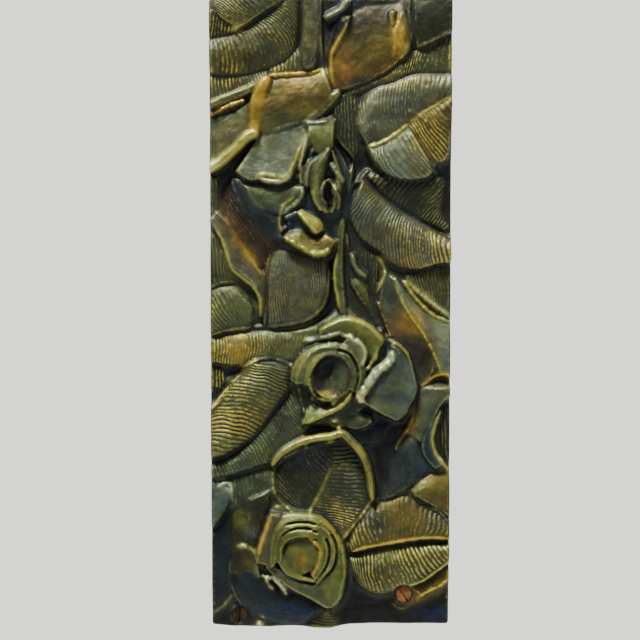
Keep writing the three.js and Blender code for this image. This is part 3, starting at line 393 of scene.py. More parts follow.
    Ridge("rose1_lip_rim",
          line=[(-20.3, 35.2), (-15, 32.6), (-11, 30.2), (-8, 28.6), (-4, 28.2), (0, 30.4)],
          half=1.1, top=11.8, proud=0.9, tone="straw", crumple=0.5),
    Leaf("rose1_yellow_fold",
         root=[(-14.4, 45.6), (-11.4, 42), (-8.6, 39), (-6.4, 36.4)],
         edge=[(-13, 47.6), (-8.6, 45.4), (-4, 42.6), (-2.6, 38.6)],
         rise=(11.2, 11.6), lift=(8.6, 9), swell=0.8, tone="straw"),
    Ridge("rose1_yellow_fold_rim",
          line=[(-14, 46.6), (-11.4, 43.2), (-8.8, 40.4), (-6.2, 37)],
          half=0.9, top=11.9, proud=0.6, tone="straw"),
    Ridge("rose1_pale_fold",
          line=[(-20.4, 43.6), (-17.6, 44.8), (-14, 46.6)],
          half=1, top=9, proud=0.9, tone="ash"),
    Ridge("rose1_corner_fold",
          line=[(-20.6, 38.6), (-18.6, 40.2), (-18.2, 42.6)],
          half=0.7, top=8.8, proud=0.7, tone="slate"),
    Leaf("bud_left",
         root=[(0.4, 73.5), (-1.6, 66), (-3, 58), (-2.6, 52), (0, 46)],
         edge=[(-2, 73.6), (-8.4, 67.6), (-9.7, 60), (-8, 52), (-3, 45.3)],
         rise=(9.6, 9.2), lift=(8.6, 8.6), swell=3.4, veins=0, lines=7, tone="olive"),
    Leaf("bud_right",
         root=[(0.4, 73), (1.6, 64), (1.6, 54), (0, 46)],
         edge=[(1.5, 72.5), (5.6, 61.6), (5, 54), (1.4, 45.5)],
         rise=(9.4, 9.2), lift=(8, 8), swell=2.6, lines=5, tone="olive"),
    Ridge("bud_slit_left",
          line=[(-1.2, 61), (-3.4, 57), (-3.8, 52.6), (-1.6, 48)],
          half=0.8, top=13, proud=0.5, tone="umber"),
    Ridge("bud_slit_right",
          line=[(-1.2, 61), (1, 57), (1.9, 52.6), (1, 48.4)],
          half=0.8, top=13, proud=0.5, tone="umber"),
    Ridge("bud_streak", [(-7.4, 56), (-6.6, 51.6), (-4, 46.8)], half=0.8, top=12, proud=0.5, tone="straw"),
    Ridge("bud_outer_line",
          line=[(-10.4, 57), (-10, 63), (-8.2, 67.4), (-5, 69.8), (-1, 72.6)],
          half=0.8, top=11, proud=0.7, tone="ash"),
    Ridge("bud_right_line",
          line=[(-0.6, 68), (1.6, 64.6), (3.6, 61.8), (6, 59)],
          half=0.9, top=12, proud=0.8, tone="ash"),
    Ridge("bud_right_fold", [(-0.8, 60.6), (2, 56), (3.8, 51.4), (3, 46.6)], half=0.7, top=12, proud=0.6),
    Leaf("rose1_receptacle",
         root=[(-10, 84.6), (-4, 86), (2, 86)],
         edge=[(-9.6, 77), (-5, 71), (1, 73)],
         rise=(8.4, 8.4), lift=(9.4, 9.4), swell=1.9, tone="olive"),
    Ridge("rose1_sepal", [(-11, 84.3), (-6, 84.6), (-1, 85.4)], half=0.8, top=9.9, proud=0.5, tone="stone"),
    Ridge("stem_beside_rose1",
          line=[(10, 70), (8.4, 60), (6.6, 52), (5.2, 44), (5.2, 36)],
          half=0.9, top=7.4, tone="dark"),
    # Right of the first rose
    Leaf("right_leaf_upper",
         root=[(15.5, 60.5), (22, 53.5), (28, 48.7), (34, 45), (39, 42), (44, 39.5), (48, 37.5)],
         edge=[(17, 63), (28, 64), (40, 64), (48.9, 60.5), (48.9, 52), (48.6, 46), (51.5, 40)],
         rise=(5.4, 5.2), lift=(5.8, 6), swell=1.7, veins=24, cut=0.36, tone="dark"),
    Leaf("right_leaf_lower",
         root=[(14.5, 60), (18, 56.5), (22, 53), (27, 49.3), (32, 46), (37, 43), (41, 40.7), (46, 38),
               (55, 32.5)],
         edge=[(11, 55), (7.8, 46), (12, 36), (21, 29), (29, 23.8), (36, 21.2), (41.5, 21.8), (47, 23.5),
               (55, 24)],
         rise=(6.6, 6), lift=(6.8, 7.2), swell=4.1, bow=-2.8, veins=36, cut=0.34, tone="stone"),
    Leaf("right_vertical_band",
         root=[(31, 20), (38, 21), (46, 23), (55, 24)],
         edge=[(35, 14), (42, 8), (48, 4), (55, 0)],
         rise=(4.4, 4.4), lift=(5.4, 5.4), swell=1.2, veins=15, cut=0.36),
    Ridge("double_ridge_upper",
          line=[(32.8, 17), (38, 11.7), (44, 6.7), (50, 2.2), (55, -1)],
          half=1, top=8.7, tone="straw"),
    Ridge("double_ridge_lower",
          line=[(31.6, 16.4), (35.5, 10.5), (40.5, 4.8), (46, 0.5), (55, -3)],
          half=0.9, top=8.5, tone="straw"),
    Leaf("right_smooth_leaf",
         root=[(29, 18), (34, 11), (40, 4.5), (46, 0), (55, -3)],
         edge=[(28, 17), (31, 8), (36, 0), (42, -9), (46, -18), (49, -25), (55, -25.5)],
         rise=(4.4, 4.4), lift=(7.6, 7.4), swell=1.2, fall=0.7, lines=8, tone="ash"),
    Ridge("right_smooth_leaf_rim",
          line=[(27, 18.5), (30, 10.5), (34, 2.5), (40, -6), (44, -13), (47, -20), (48.6, -25)],
          half=0.6, top=8.5, tone="straw"),
    Leaf("bract",
         root=[(24, 20), (22.5, 13), (21.3, 8), (23, 1), (26, -8), (34, -15), (37, -27)],
         edge=[(27, 17.8), (30, 10), (34, 2), (40, -6.4), (44, -13.5), (46.6, -20.5), (41, -29.8)],
         rise=(6.6, 6.4), lift=(7.4, 7.6), swell=-0.9, lines=8, tone="sage"),
    Ridge("bract_tip_lip",
          line=[(39.8, -30.5), (44.5, -26.6), (49, -24.8), (55, -25.4)],
          half=0.7, top=9, tone="gold"),
    Ridge("bract_left_ridge",
          line=[(20.6, 7), (22.5, 2), (24.5, -3), (26.5, -9)],
          half=1, top=7.4, tone="umber"),
    Ridge("tendril_rim",
          line=[(20.2, 27.4), (22.6, 24), (23.8, 20), (22.8, 16), (20.2, 11)],
          half=0.8, top=9.2, tone="straw"),
    Ridge("main_stem",
          line=[(5.4, 44), (4.4, 36), (4, 28), (3.9, 18), (4.8, 9), (6, -1)],
          half=1.9, top=8.2, flat=True),
    Ridge("main_stem_edge",
          line=[(3, 29), (1.7, 21), (2, 14), (3, 9), (3.8, 4)],
          half=0.5, top=8.6, tone="straw"),
    Ridge("second_stem",
          line=[(6.8, 38), (8, 28), (8.6, 21), (9.8, 14.5), (13, 9), (17, 3), (20.5, -3), (23.3, -8)],
          half=1, top=7.6, tone="dark"),
    Ridge("thorn", [(9.4, 28), (10.6, 22.8), (13, 19.6), (16, 17.8)], half=1.2, top=8.8, tone="stone"),
    Leaf("dark_veined_leaf",
         root=[(9, 34), (15, 32), (21, 28)],
         edge=[(10, 14), (15.5, 11), (20.5, 10)],
         rise=(4.4, 4.6), lift=(5.4, 5.4), swell=1.1, veins=9, cut=0.3, tone="dark"),
    Leaf("stem_web",
         root=[(9, 16), (12, 17), (16, 14)],
         edge=[(12, 9.5), (14.5, 7), (17.5, 3.5)],
         rise=(6.8, 6.4), lift=(5.8, 5.6), swell=0.5, tone="olive"),
    # Left middle
    Leaf("pale_strip",
         root=[(-55, 62), (-55, 52), (-55, 43)],
         edge=[(-49.4, 61), (-48.9, 52), (-49.6, 44)],
         rise=(5, 5), lift=(5.6, 5.6), swell=0.3),
    Leaf("streaked_leaf",
         root=[(-50, 46), (-47, 54), (-43.5, 60)],
         edge=[(-30, 19), (-27, 25), (-22, 31)],
         rise=(5, 5), lift=(5, 5.2), swell=2.1, veins=9, cut=0.2, lines=6, tone="umber"),
    Leaf("blade_leaf",
         root=[(-49.5, 46.5), (-44, 40), (-40, 33.3), (-36, 27), (-32, 21.5), (-29.4, 17), (-29.4, 8),
               (-30.3, 0)],
         edge=[(-52.5, 43), (-47.3, 34), (-44.8, 27), (-42.8, 21.6), (-38.5, 17.6), (-33.8, 13.8),
               (-31, 7.5), (-31.2, 0.5)],
         rise=(7.6, 7.4), lift=(8.2, 8), swell=-0.8, lines=5, tone="stone"),
    Ridge("blade_leaf_rim",
          line=[(-50, 39), (-47.2, 34), (-44.8, 27), (-42.8, 21.6), (-38.5, 17.6), (-33.8, 13.8),
                (-31, 8.5), (-30.4, 0.6)],
          half=0.7, top=9.6, tone="straw"),
    Ridge("blade_leaf_edge",
          line=[(-49, 46), (-44, 40), (-40, 33.3), (-36, 27), (-32, 21.5), (-29.4, 18), (-29.3, 12)],
          half=0.5, top=8.5, tone="ochre"),
    Ridge("blade_leaf_crease",
          line=[(-43, 24), (-40, 20.6), (-35, 16.6), (-31.5, 12.5)],
          half=0.5, top=8.9, tone="stone"),
    Leaf("left_vertical_band",
         root=[(-55, 39), (-49.5, 36.5), (-45, 28)],
         edge=[(-55, 13), (-47, 14.5), (-41.5, 15)],
         rise=(4.6, 4.8), lift=(5.6, 5.6), swell=1.3, veins=9, cut=0.36),
    Ridge("left_band_seam", [(-55, 12.4), (-48, 15.2), (-41.5, 15.8)], half=0.5, top=6.4, tone="olive"),
    Leaf("left_diagonal_leaf",
         root=[(-55, -3), (-55, 5), (-52.5, 11), (-46, 13.7), (-40.5, 13), (-37, 9)],
         edge=[(-50, -7.4), (-45, -6.5), (-40, -5.6), (-36, -5), (-33.5, -2), (-33, 3)],
         rise=(6, 5.4), lift=(5.4, 5), swell=2.5, veins=16, cut=0.3, tone="olive"),
    Ridge("long_rim",
          line=[(-55, -8), (-46, -5.6), (-36, -4.5), (-25, -3.8), (-14, -2.2), (-8, 0.2), (-4, 4), (-2, 9),
                (-1, 15), (-0.8, 25)],
          half=0.9, top=7.8, tone="dark"),
    Leaf("middle_fan_leaf",
         root=[(-27.5, 29), (-24, 30), (-17, 29.5), (-10, 28), (-2, 26)],
         edge=[(-27, -4), (-19, -3.4), (-12, -2), (-6, 1.5), (-2, 9)],
         rise=(5, 5), lift=(6.4, 6.6), swell=2.2, veins=24, cut=0.34, tone="stone"),
    Ridge("middle_leaf_left_ridge",
          line=[(-24.8, 31), (-27.3, 24), (-28, 14), (-28.2, 6), (-29, -4)],
          half=1.1, top=7.2, tone="umber"),
    Leaf("lower_left_leaf",
         root=[(-55, -9.4), (-45, -7.4), (-33, -6.3), (-22, -5.6), (-9, -5)],
         edge=[(-55, -18.4), (-44.5, -20.5), (-34, -19.5), (-23, -18.5), (-11, -20)],
         rise=(5.4, 5.6), lift=(7.4, 7.6), swell=1.2, bow=0.8, veins=34, cut=0.32, tone="olive"),
    Leaf("ribbed_leaf",
         root=[(-36, -19.5), (-38, -24.5), (-46, -31), (-51, -38), (-55, -45), (-55, -52), (-55, -61)],
         edge=[(-15.5, -22.5), (-17.5, -30), (-22, -36.5), (-26.5, -43), (-31, -49.5), (-36.5, -55),
               (-45, -60.5)],
         rise=(8.6, 7.6), lift=(6.2, 6), swell=3.7, bow=-3, veins=25, cut=0.46, tone="olive"),
    Ridge("ribbed_leaf_top",
          line=[(-38, -21.5), (-32, -18.7), (-26, -18), (-20, -19.6), (-15, -23)],
          half=0.7, top=9.6),
    Ridge("ribbed_leaf_lobe", [(-53.5, -41), (-49, -37.5), (-45.5, -33.5)], half=0.8, top=9),
    Leaf("left_small_leaf",
         root=[(-55, -20), (-50, -21), (-46, -23)],
         edge=[(-55, -39), (-50, -35), (-46.5, -31)],
         rise=(4.6, 4.6), lift=(5.4, 5.4), swell=1, veins=5, cut=0.3, tone="dark"),
    Leaf("ribbed_leaf_lower",
         root=[(-16, -29), (-22, -38), (-27, -44.5), (-33, -51.5), (-40, -58), (-47, -62), (-55, -65)],
         edge=[(-12, -42), (-11, -52), (-19, -59.5), (-26, -64), (-34, -66.3), (-43, -69.3), (-55, -71.8)],
         rise=(4.6, 5.8), lift=(7, 7), swell=1.9, bow=-0.8, veins=36, cut=0.24, tone="leaf"),
    # Cup leaf
    Leaf("cup_leaf_left",
         root=[(1.5, -58), (-1, -68), (-4, -76), (-7, -82), (-9, -86), (-10, -88)],
         edge=[(-3, -55), (-9, -57), (-15, -60), (-20, -63.5), (-24, -70), (-22, -82)],
         rise=(4.4, 7.8), lift=(3.8, 7.2), swell=-0.4, bow=0.8, veins=20, cut=0.34, tone="dark"),
    Leaf("cup_leaf_right",
         root=[(0.7, -57.6), (0, -66), (-3, -75), (-6, -82), (-9, -87), (-7, -90.5), (-3, -94.8)],
         edge=[(10, -56), (15.5, -66), (17, -77), (14.5, -85), (10, -91), (6.6, -95.6), (3.4, -99)],
         rise=(4.4, 7.6), lift=(3.8, 9), swell=-0.4, veins=30, cut=0.4),
    Ridge("cup_leaf_midrib",
          line=[(0.5, -66), (-2, -72), (-5, -78.5), (-8, -84), (-9.8, -88)],
          half=0.6, top=8.6, tone="straw"),
    Ridge("cup_leaf_rim",
          line=[(-26, -65.5), (-22.5, -60.5), (-18, -57.2), (-12, -54.3), (-5, -52.7), (0, -52.2), (5, -51),
                (9, -54.3), (13, -59), (15.7, -64), (17.3, -70), (18, -76), (18.5, -81)],
          half=1.6, top=10.3, tone="straw", flat=True),
    Ridge("cup_leaf_drip", [(-11, -53.5), (-11, -57), (-11.4, -60.6)], half=0.7, top=9.8, tone="ash"),
    Ridge("cup_leaf_inner_line",
          line=[(-20.5, -62), (-14, -58.6), (-8, -57), (0, -55), (5.3, -54.6)],
          half=0.45, top=8.8, tone="moss"),
    Ridge("cup_leaf_left_rim",
          line=[(-25, -65.5), (-25.4, -72), (-24.5, -78), (-20.5, -83.2), (-15, -86.5), (-8.5, -88.3)],
          half=0.9, top=8.8, tone="moss"),
    Ridge("cup_leaf_lower_rim",
          line=[(18.4, -80), (15.5, -85.8), (11, -91), (7, -96.3), (4.2, -99.5)],
          half=0.8, top=9.8, tone="straw"),
    # Second rose
    Leaf("rose2_back_petal",
         root=[(-6, -9), (4, -8.6), (12, -11), (17, -18)],
         edge=[(-3, -3.4), (6, -0.4), (14, -1.8), (20, -6.3), (23.6, -10), (20.6, -14.6)],
         rise=(8, 8.4), lift=(10.2, 10.2), swell=1.3, lines=6, tone="moss"),
    Ridge("rose2_back_rim",
          line=[(-5, -6), (0, -3), (6, -0.9), (12, -1.7), (17.5, -4.7), (23, -10.4)],
          half=1, top=10.8, proud=0.7, tone="straw"),
    Ridge("rose2_slot_wall",
          line=[(20.6, -11.6), (20, -15), (18.6, -18.6), (15.6, -23)],
          half=0.9, top=11, proud=0.9, tone="straw"),
    Ridge("rose2_upper_rim",
          line=[(-12.4, -10.4), (-8, -10), (-4, -8.7), (0, -7.7), (5, -6.1)],
          half=1.1, top=11.2, proud=0.9, tone="ash"),
    Ridge("rose2_upper_knobs",
          line=[(4.6, -6.5), (6.4, -7.9), (8.6, -8.1), (9.6, -9.4)],
          half=1, top=12.2, tone="pale_wear_and_highlight", crumple=0.5),
    Leaf("rose2_grey_lobe",
         root=[(5, -11), (9, -15.5), (12.2, -21)],
         edge=[(7.6, -8.8), (11.8, -10), (14.8, -13.6), (14.9, -17), (13.5, -21.2)],
         rise=(10, 10.2), lift=(12.3, 12), lines=5, tone="ash"),
    Ridge("rose2_grey_rim",
          line=[(9.4, -9.4), (12, -10.2), (14.5, -13), (15, -16.6), (13.6, -20.8)],
          half=0.7, top=12.8, proud=0.5, tone="pale_wear_and_highlight"),
    Leaf("rose2_outer_left",
         root=[(-15, -29), (-14.6, -24.6), (-12, -19), (-8.4, -15.3), (-4, -12.9), (3, -12)],
         edge=[(-17.6, -28), (-17, -22.6), (-13.6, -16.6), (-9, -13), (-4, -11), (3, -10)],
         rise=(12.2, 12), lift=(9.8, 10.2), pad=0, lines=5, tone="olive"),
    Leaf("rose2_outer_left_inside",
         root=[(-11.6, -28.6), (-10.9, -23), (-8, -18.2), (-4.4, -15), (3, -13.6)],
         edge=[(-15, -29), (-14.6, -24.6), (-12, -19), (-8.4, -15.3), (-4, -12.9), (3, -12)],
         rise=(10.9, 11.4), lift=(12.2, 12), pad=0, lines=4, tone="sage"),
    Leaf("rose2_inner_left",
         root=[(-9, -29.4), (-8.7, -24.2), (-6, -19.7), (-2.8, -16.6), (2, -15.4)],
         edge=[(-11.8, -29.6), (-10.9, -23), (-8, -18.2), (-4.4, -15), (2.6, -13.6)],
         rise=(13, 12.9), lift=(11.2, 11.6), pad=0, lines=3, tone="moss"),
    Leaf("rose2_inner_right",
         root=[(-0.6, -15.2), (5, -16.8), (8.3, -20.6), (9.8, -25.5), (8.6, -31.4)],
         edge=[(-1.4, -13.4), (7, -15), (10.5, -19.5), (12, -25), (10.4, -32.4)],
         rise=(12.7, 12.3), lift=(11.6, 11.4), pad=0, lines=3, tone="leaf"),
    Leaf("rose2_outer_right",
         root=[(-1.4, -12.8), (7.2, -14.4), (11, -19), (12.5, -25), (10.8, -32.6)],
         edge=[(-1, -10), (9.4, -12.2), (13.4, -17.6), (15.6, -24), (12.6, -32.6)],
         rise=(12.3, 12), lift=(10.4, 10), pad=0, lines=4, tone="olive"),
    Bowl("rose2_heart",
         centre=(-1.8, -21), ring=(0.3, -25.5, 8.9, 9.8), low=4.5, high=12.4, power=0.85, tone="umber"),
    Leaf("rose2_heart_petal",
         root=[(2.6, -16.6), (0.7, -21), (0, -25), (-0.8, -29), (0.8, -33)],
         edge=[(5.6, -16.7), (9, -21.4), (9.9, -26.4), (8, -31.6), (4, -34.4)],
         rise=(8.6, 9.8), lift=(12.4, 12.2), swell=-0.2, pad=0, lines=6, tone="leaf"),
    Ridge("rose2_heart_rim",
          line=[(-9, -26), (-8.8, -30), (-6.6, -34), (-3, -35.7), (0.6, -35.2), (2.6, -33.8)],
          half=0.7, top=12.6, proud=0.5, tone="moss"),
    Leaf("rose2_lower_petal_left",
         root=[(-8.4, -37), (-4.5, -38.6), (0, -37.6), (3.5, -34.8), (6.8, -31.6)],
         edge=[(-13, -46.6), (-8, -44.6), (-3.6, -42.8), (0.4, -40.9), (4, -39.1), (7, -36.2),
               (9.4, -32.2)],
         rise=(7.8, 9.4), lift=(11.2, 11.4), swell=0.4, lines=4, tone="moss"),
    Ridge("rose2_pale_rim",
          line=[(-12.6, -46.5), (-8, -44.6), (-3.6, -42.7), (0.4, -40.8), (4, -39), (7, -36), (9.2, -32.2)],
          half=0.9, top=12, proud=0.6, tone="straw"),
    Ridge("rose2_inner_lip",
          line=[(0.2, -38), (1.8, -36.4), (3.8, -34.4), (6.4, -32.4)],
          half=0.8, top=11.6, proud=0.8, tone="moss"),
    Ridge("rose2_left_fold",
          line=[(-14.6, -25), (-14, -29), (-13.6, -33), (-12.4, -38), (-10.6, -44)],
          half=0.8, top=9.6, proud=0.9, tone="dark"),
    Ridge("rose2_left_fold_inner",
          line=[(-8.6, -33), (-7.6, -36.6), (-6.6, -39.5), (-5.6, -42)],
          half=0.7, top=9.4, proud=0.8, tone="dark"),
    Leaf("rose2_big_petal",
         root=[(26, -12), (26, -18), (23, -23), (19.5, -27.5), (17, -32), (15, -37)],
         edge=[(28, -10.5), (34, -16.5), (36.3, -24.5), (38, -32), (34.5, -39), (30, -45)],
         rise=(9, 9), lift=(9.4, 10), swell=1.6, lines=12, tone="sea"),
    Ridge("rose2_crumpled_lip",
          line=[(26.4, -14.4), (26.6, -17.6), (24.2, -20.6), (20.6, -23), (17.8, -27), (15.2, -31),
                (12.8, -34.2), (14.4, -37.2)],
          half=1.7, top=12.3, tone="pale_wear_and_highlight", crumple=0.9),
    Ridge("rose2_big_petal_rim",
          line=[(14.5, -36.8), (20, -40), (25, -42.6), (30, -45)],
          half=0.6, top=11, tone="ash"),
    Ridge("rose2_big_petal_side",
          line=[(24, -9.5), (29, -11.4), (33.7, -16.4), (35.9, -24), (37.8, -31.5)],
          half=0.6, top=10.4, tone="sea"),
    Leaf("rose2_slot",
         root=[(17.5, -16), (16, -22), (12.5, -27), (10.5, -32)],
         edge=[(25, -12), (25.5, -17), (18, -25.5), (12.5, -33.5)],
         rise=(9.6, 9.6), lift=(8, 9.4), swell=-1.2, tone="umber"),
    Leaf("rose2_lower_petal",
         root=[(3, -42), (10, -41), (18, -43)],
         edge=[(3, -47), (10, -48.8), (18.5, -46.4)],
         rise=(5.2, 5.2), lift=(8, 8), swell=0.8, tone="stone"),
    Ridge("rose2_lower_petal_rim", [(7, -48.3), (12.5, -48.6), (18.6, -46.2)], half=0.4, top=8.7),
    Bowl("bead_upper",
         centre=(1.6, -45), ring=(1.6, -45, 1.9, 1.8), low=9.8, high=6.5, power=2, tone="pale_wear_and_highlight"),
    Bowl("bead_lower",
         centre=(3.6, -48.4), ring=(3.6, -48.4, 1.6, 1.4), low=9.4, high=6.5, power=2, tone="pale_wear_and_highlight"),
    Leaf("hollow_slope",
         root=[(6, -47), (18, -47), (27, -47)],
         edge=[(8, -52), (16, -57), (22, -56)],
         rise=(4.4, 4.4), lift=(5.4, 4.2), swell=0.5, tone="deep"),
    # Right of the second rose
    Ridge("brown_edge",
          line=[(37, -38), (35.9, -45), (33.6, -50), (30.4, -54.5), (28.6, -59)],
          half=1.1, top=7, tone="ochre"),
    Leaf("grey_leaf",
         root=[(38.5, -30.5), (37, -38), (36.5, -45), (34, -51), (38, -54)],
         edge=[(55, -31), (50, -36), (46.3, -42), (43, -49.5), (40, -55)],
         rise=(6.2, 6.4), lift=(7.2, 7.2), swell=1.7, lines=7, tone="sage"),
    Ridge("grey_leaf_seam",
          line=[(55, -32.5), (50, -35.5), (46, -42), (43, -49.5), (40, -55)],
          half=0.5, top=8.2, tone="sage"),
    Ridge("grey_leaf_rim",
          line=[(48.4, -41), (45.7, -48), (44.6, -54), (46, -59.5), (49.3, -64.5), (53, -69)],
          half=0.7, top=8.8, tone="straw"),
    Leaf("grey_leaf_tongue",
         root=[(46, -44), (44.6, -52), (45.8, -59), (49, -65)],
         edge=[(43.4, -48.6), (39.8, -56), (41.6, -62), (46, -67)],
         rise=(7.8, 7.8), lift=(8.6, 8.4), swell=0.3, tone="slate"),
    Leaf("blue_leaf",
         root=[(34, -52), (29.5, -58.5), (26.5, -65), (24.4, -71.5), (20, -80.5)],
         edge=[(39, -54.5), (41.3, -61.5), (45, -67.5), (40, -71), (31, -78.5)],
         rise=(4.8, 5), lift=(6, 6), swell=2, lines=7, tone="slate"),
    Ridge("blue_leaf_seam",
          line=[(18.8, -81), (25, -80), (29, -78), (34, -75), (40.5, -70.5)],
          half=0.6, top=6.8, tone="slate"),
    Leaf("edge_lined_band",
         root=[(47.5, -39), (51, -38), (55, -37)],
         edge=[(48.5, -60), (52, -65), (55, -68)],
         rise=(4, 4), lift=(4.4, 4.4), swell=1.3, veins=4, cut=0.4, tone="dark"),
    Leaf("olive_mound",
         root=[(35, -75.5), (40, -70.5), (47, -68), (55, -70)],
         edge=[(37.5, -79.5), (43, -81), (49, -84.5), (55, -88)],
         rise=(5, 5), lift=(7.6, 7.6), swell=2.1, lines=5, tone="ochre"),
    Ridge("olive_mound_rim",
          line=[(39, -79.3), (44, -81.8), (50, -85.6), (55, -89.5)],
          half=0.6, top=8.5, tone="olive"),
    Ridge("olive_mound_lower_rim",
          line=[(40.6, -83.4), (45, -84.4), (49.5, -87.2), (52.6, -92)],
          half=0.45, top=7.8),
    Leaf("bottom_leaf_upper",
         root=[(9, -103.6), (14, -102.2), (20, -101), (26, -99.9), (32, -99), (38, -98.2), (45, -97.6),
               (55, -98.4)],
         edge=[(7.4, -99.5), (10.5, -92.5), (16.5, -86), (25, -81.2), (33, -78.8), (42, -83.5), (49.5, -87),
               (55, -93.5)],
         rise=(7.6, 7.4), lift=(6, 6.2), swell=2.2, veins=24, cut=0.3, tone="ochre"),
    Leaf("bottom_leaf_lower",
         root=[(8.5, -105), (13, -103.9), (19, -102.7), (25, -101.6), (31, -100.7), (38, -99.9),
               (46, -99.5), (55, -99.9)],
         edge=[(10, -113), (15, -119.5), (22, -122.2), (31, -119.8), (39, -117.6), (46, -113), (52, -108),
               (56, -104)],
         rise=(5, 5), lift=(7.2, 7.2), swell=3, bow=-0.9, veins=28, cut=0.44, tone="olive"),
    Ridge("bottom_leaf_midrib",
          line=[(9, -103.8), (15, -101.8), (21, -100.6), (28, -99.4), (36, -98), (44, -97.2), (55, -97.8)],
          half=0.8, top=9.4, tone="gold"),
    Ridge("bottom_leaf_rim",
          line=[(35, -119), (41, -116.6), (46, -113), (53, -107.5)],
          half=0.6, top=8.5, tone="straw"),
    Leaf("bottom_under_leaf",
         root=[(36, -120), (44, -116), (54, -109)],
         edge=[(40.5, -124.5), (47, -120.5), (54, -116)],
         rise=(5, 5), lift=(6.4, 6.4), swell=0.4, tone="ochre"),
    Ridge("ragged_gold_ridge",
          line=[(38, -127.8), (39.8, -124), (44, -121.2), (49, -118.8), (53, -114.5)],
          half=0.8, top=8.2, tone="gold"),
    Ridge("screw_boss_rim",
          line=[(27, -126), (29.5, -129.2), (33, -129.9), (36.6, -126.8), (37.2, -123)],
          half=1, top=5.6, tone="ochre"),
    # Third rose
    Leaf("rose3_outer_upper",
         root=[(-26, -110), (-25.2, -98), (-21, -91.4), (-14, -89.4), (-6, -90.4), (0, -95)],
         edge=[(-28, -111), (-27.2, -97), (-22.8, -88), (-14, -86), (-4.2, -87.6), (2.6, -94)],
         rise=(12.7, 12.4), lift=(10, 10.2), pad=0, lines=4, tone="moss"),
    Leaf("rose3_middle_upper",
         root=[(-24.4, -109), (-23, -98.6), (-19.8, -94), (-14, -92), (-7.4, -92.8), (-2.4, -97)],
         edge=[(-26, -109.6), (-25, -97.4), (-21.2, -91.8), (-14, -90), (-6.4, -91), (-0.4, -96)],
         rise=(12.9, 12.7), lift=(11.9, 11.8), pad=0, lines=2, tone="moss"),
    Leaf("rose3_inner_upper",
         root=[(-21.6, -107), (-20.5, -100.6), (-17.6, -97.4), (-13.5, -96.2), (-9.4, -96.4)],
         edge=[(-24, -108), (-23, -98.8), (-19.6, -94.4), (-14, -92.6), (-7.4, -93.2)],
         rise=(13.3, 13.3), lift=(12.1, 12.1), pad=0, lines=3, tone="moss"),
    Bowl("rose3_dome",
         centre=(-12.8, -107), ring=(-13.2, -104.8, 7.6, 8.6), low=13.1, high=11.3, power=1.6, tone="moss"),
    Leaf("rose3_inner_lower",
         root=[(-20.8, -104), (-18.6, -109.6), (-14, -113), (-9, -114.8)],
         edge=[(-24.4, -105), (-20.8, -111.6), (-14.4, -115.4), (-6, -117)],
         rise=(12, 11.8), lift=(12.9, 12.4), pad=0, lines=3, tone="moss"),
    Ridge("rose3_gold_rim",
          line=[(-9.2, -95.8), (-7.6, -98.4), (-5.3, -100.2), (-4.3, -103), (-4.8, -106.4), (-6, -110.2),
                (-8.6, -114.2)],
          half=0.9, top=13.9, tone="gold", crumple=0.5),
    Leaf("rose3_right_inner",
         root=[(-9, -96), (-5.6, -98.2), (-3.6, -102.6), (-4.4, -107.6), (-8, -114.6)],
         edge=[(-9.4, -93.6), (-4.4, -95), (-1.3, -99.5), (-0.9, -104.6), (-2.6, -110), (-7, -116)],
         rise=(12.1, 12), lift=(13, 12.7), pad=0, lines=3, tone="moss"),
    Leaf("rose3_right_middle",
         root=[(-8.4, -93.2), (-3.8, -94.6), (-0.6, -99.4), (-0.2, -104.6), (-2, -110), (-6.6, -116)],
         edge=[(-7, -91), (-1.4, -93.4), (1.9, -99.4), (2.4, -104.6), (0.6, -110.4), (-6, -117.4)],
         rise=(11.9, 11.8), lift=(12.7, 12.4), pad=0, lines=3, tone="moss"),
    Leaf("rose3_right_outer",
         root=[(-7, -91), (-1, -93), (2.4, -99.2), (2.9, -104.8), (1, -111), (-6, -117.4)],
         edge=[(-4, -88.6), (1.4, -93.8), (4.2, -100), (6, -106), (6.3, -112), (5.2, -118), (4.4, -122.6),
               (0, -128.4)],
         rise=(11.4, 11.4), lift=(11.8, 11.4), swell=0.4, pad=0.3, lines=4, tone="moss"),
    Ridge("rose3_right_rim",
          line=[(0, -92.6), (3.9, -98.8), (5.6, -105), (6, -112), (5, -118), (3.8, -123.4), (0.6, -127.6)],
          half=0.8, top=12, proud=0.5, tone="moss"),
    Leaf("rose3_lower_petal",
         root=[(-27, -107), (-22, -111), (-17, -114.8), (-11, -117), (-3, -117.6)],
         edge=[(-28.6, -110.6), (-20.8, -117), (-14, -120.9), (-8, -123.9), (1, -128.6)],
         rise=(11, 11.4), lift=(11.6, 11.4), swell=0.4, pad=0.3, lines=5, tone="sage"),
    Ridge("rose3_lower_rim",
          line=[(-20.8, -116.8), (-14, -120.8), (-8, -123.8), (-3.5, -126.6), (-0.5, -128.4)],
          half=0.7, top=12, proud=0.5, tone="moss"),
    Leaf("rose3_bar_petal",
         root=[(-26.6, -86), (-28.4, -93), (-30.8, -100), (-32.8, -108)],
         edge=[(-21.6, -86.4), (-23.6, -93), (-26, -101), (-28, -109.5)],
         rise=(12.2, 11.8), lift=(11.2, 11.2), pad=0.3, lines=3, tone="stone"),
    Ridge("rose3_bar_gold",
          line=[(-26.4, -87.4), (-27.8, -92.5), (-30.2, -99), (-31.8, -105)],
          half=0.8, top=13, proud=0.5, tone="gold"),
    Leaf("rose3_left_petal",
         root=[(-26, -76), (-28, -87), (-31, -96), (-33, -105), (-33, -112)],
         edge=[(-41, -82), (-43.5, -91), (-44.3, -100), (-44.8, -108), (-44.6, -114)],
         rise=(8.6, 8.8), lift=(6.2, 6.2), swell=1.9, lines=6, tone="dark"),
    Ridge("rose3_pale_arch",
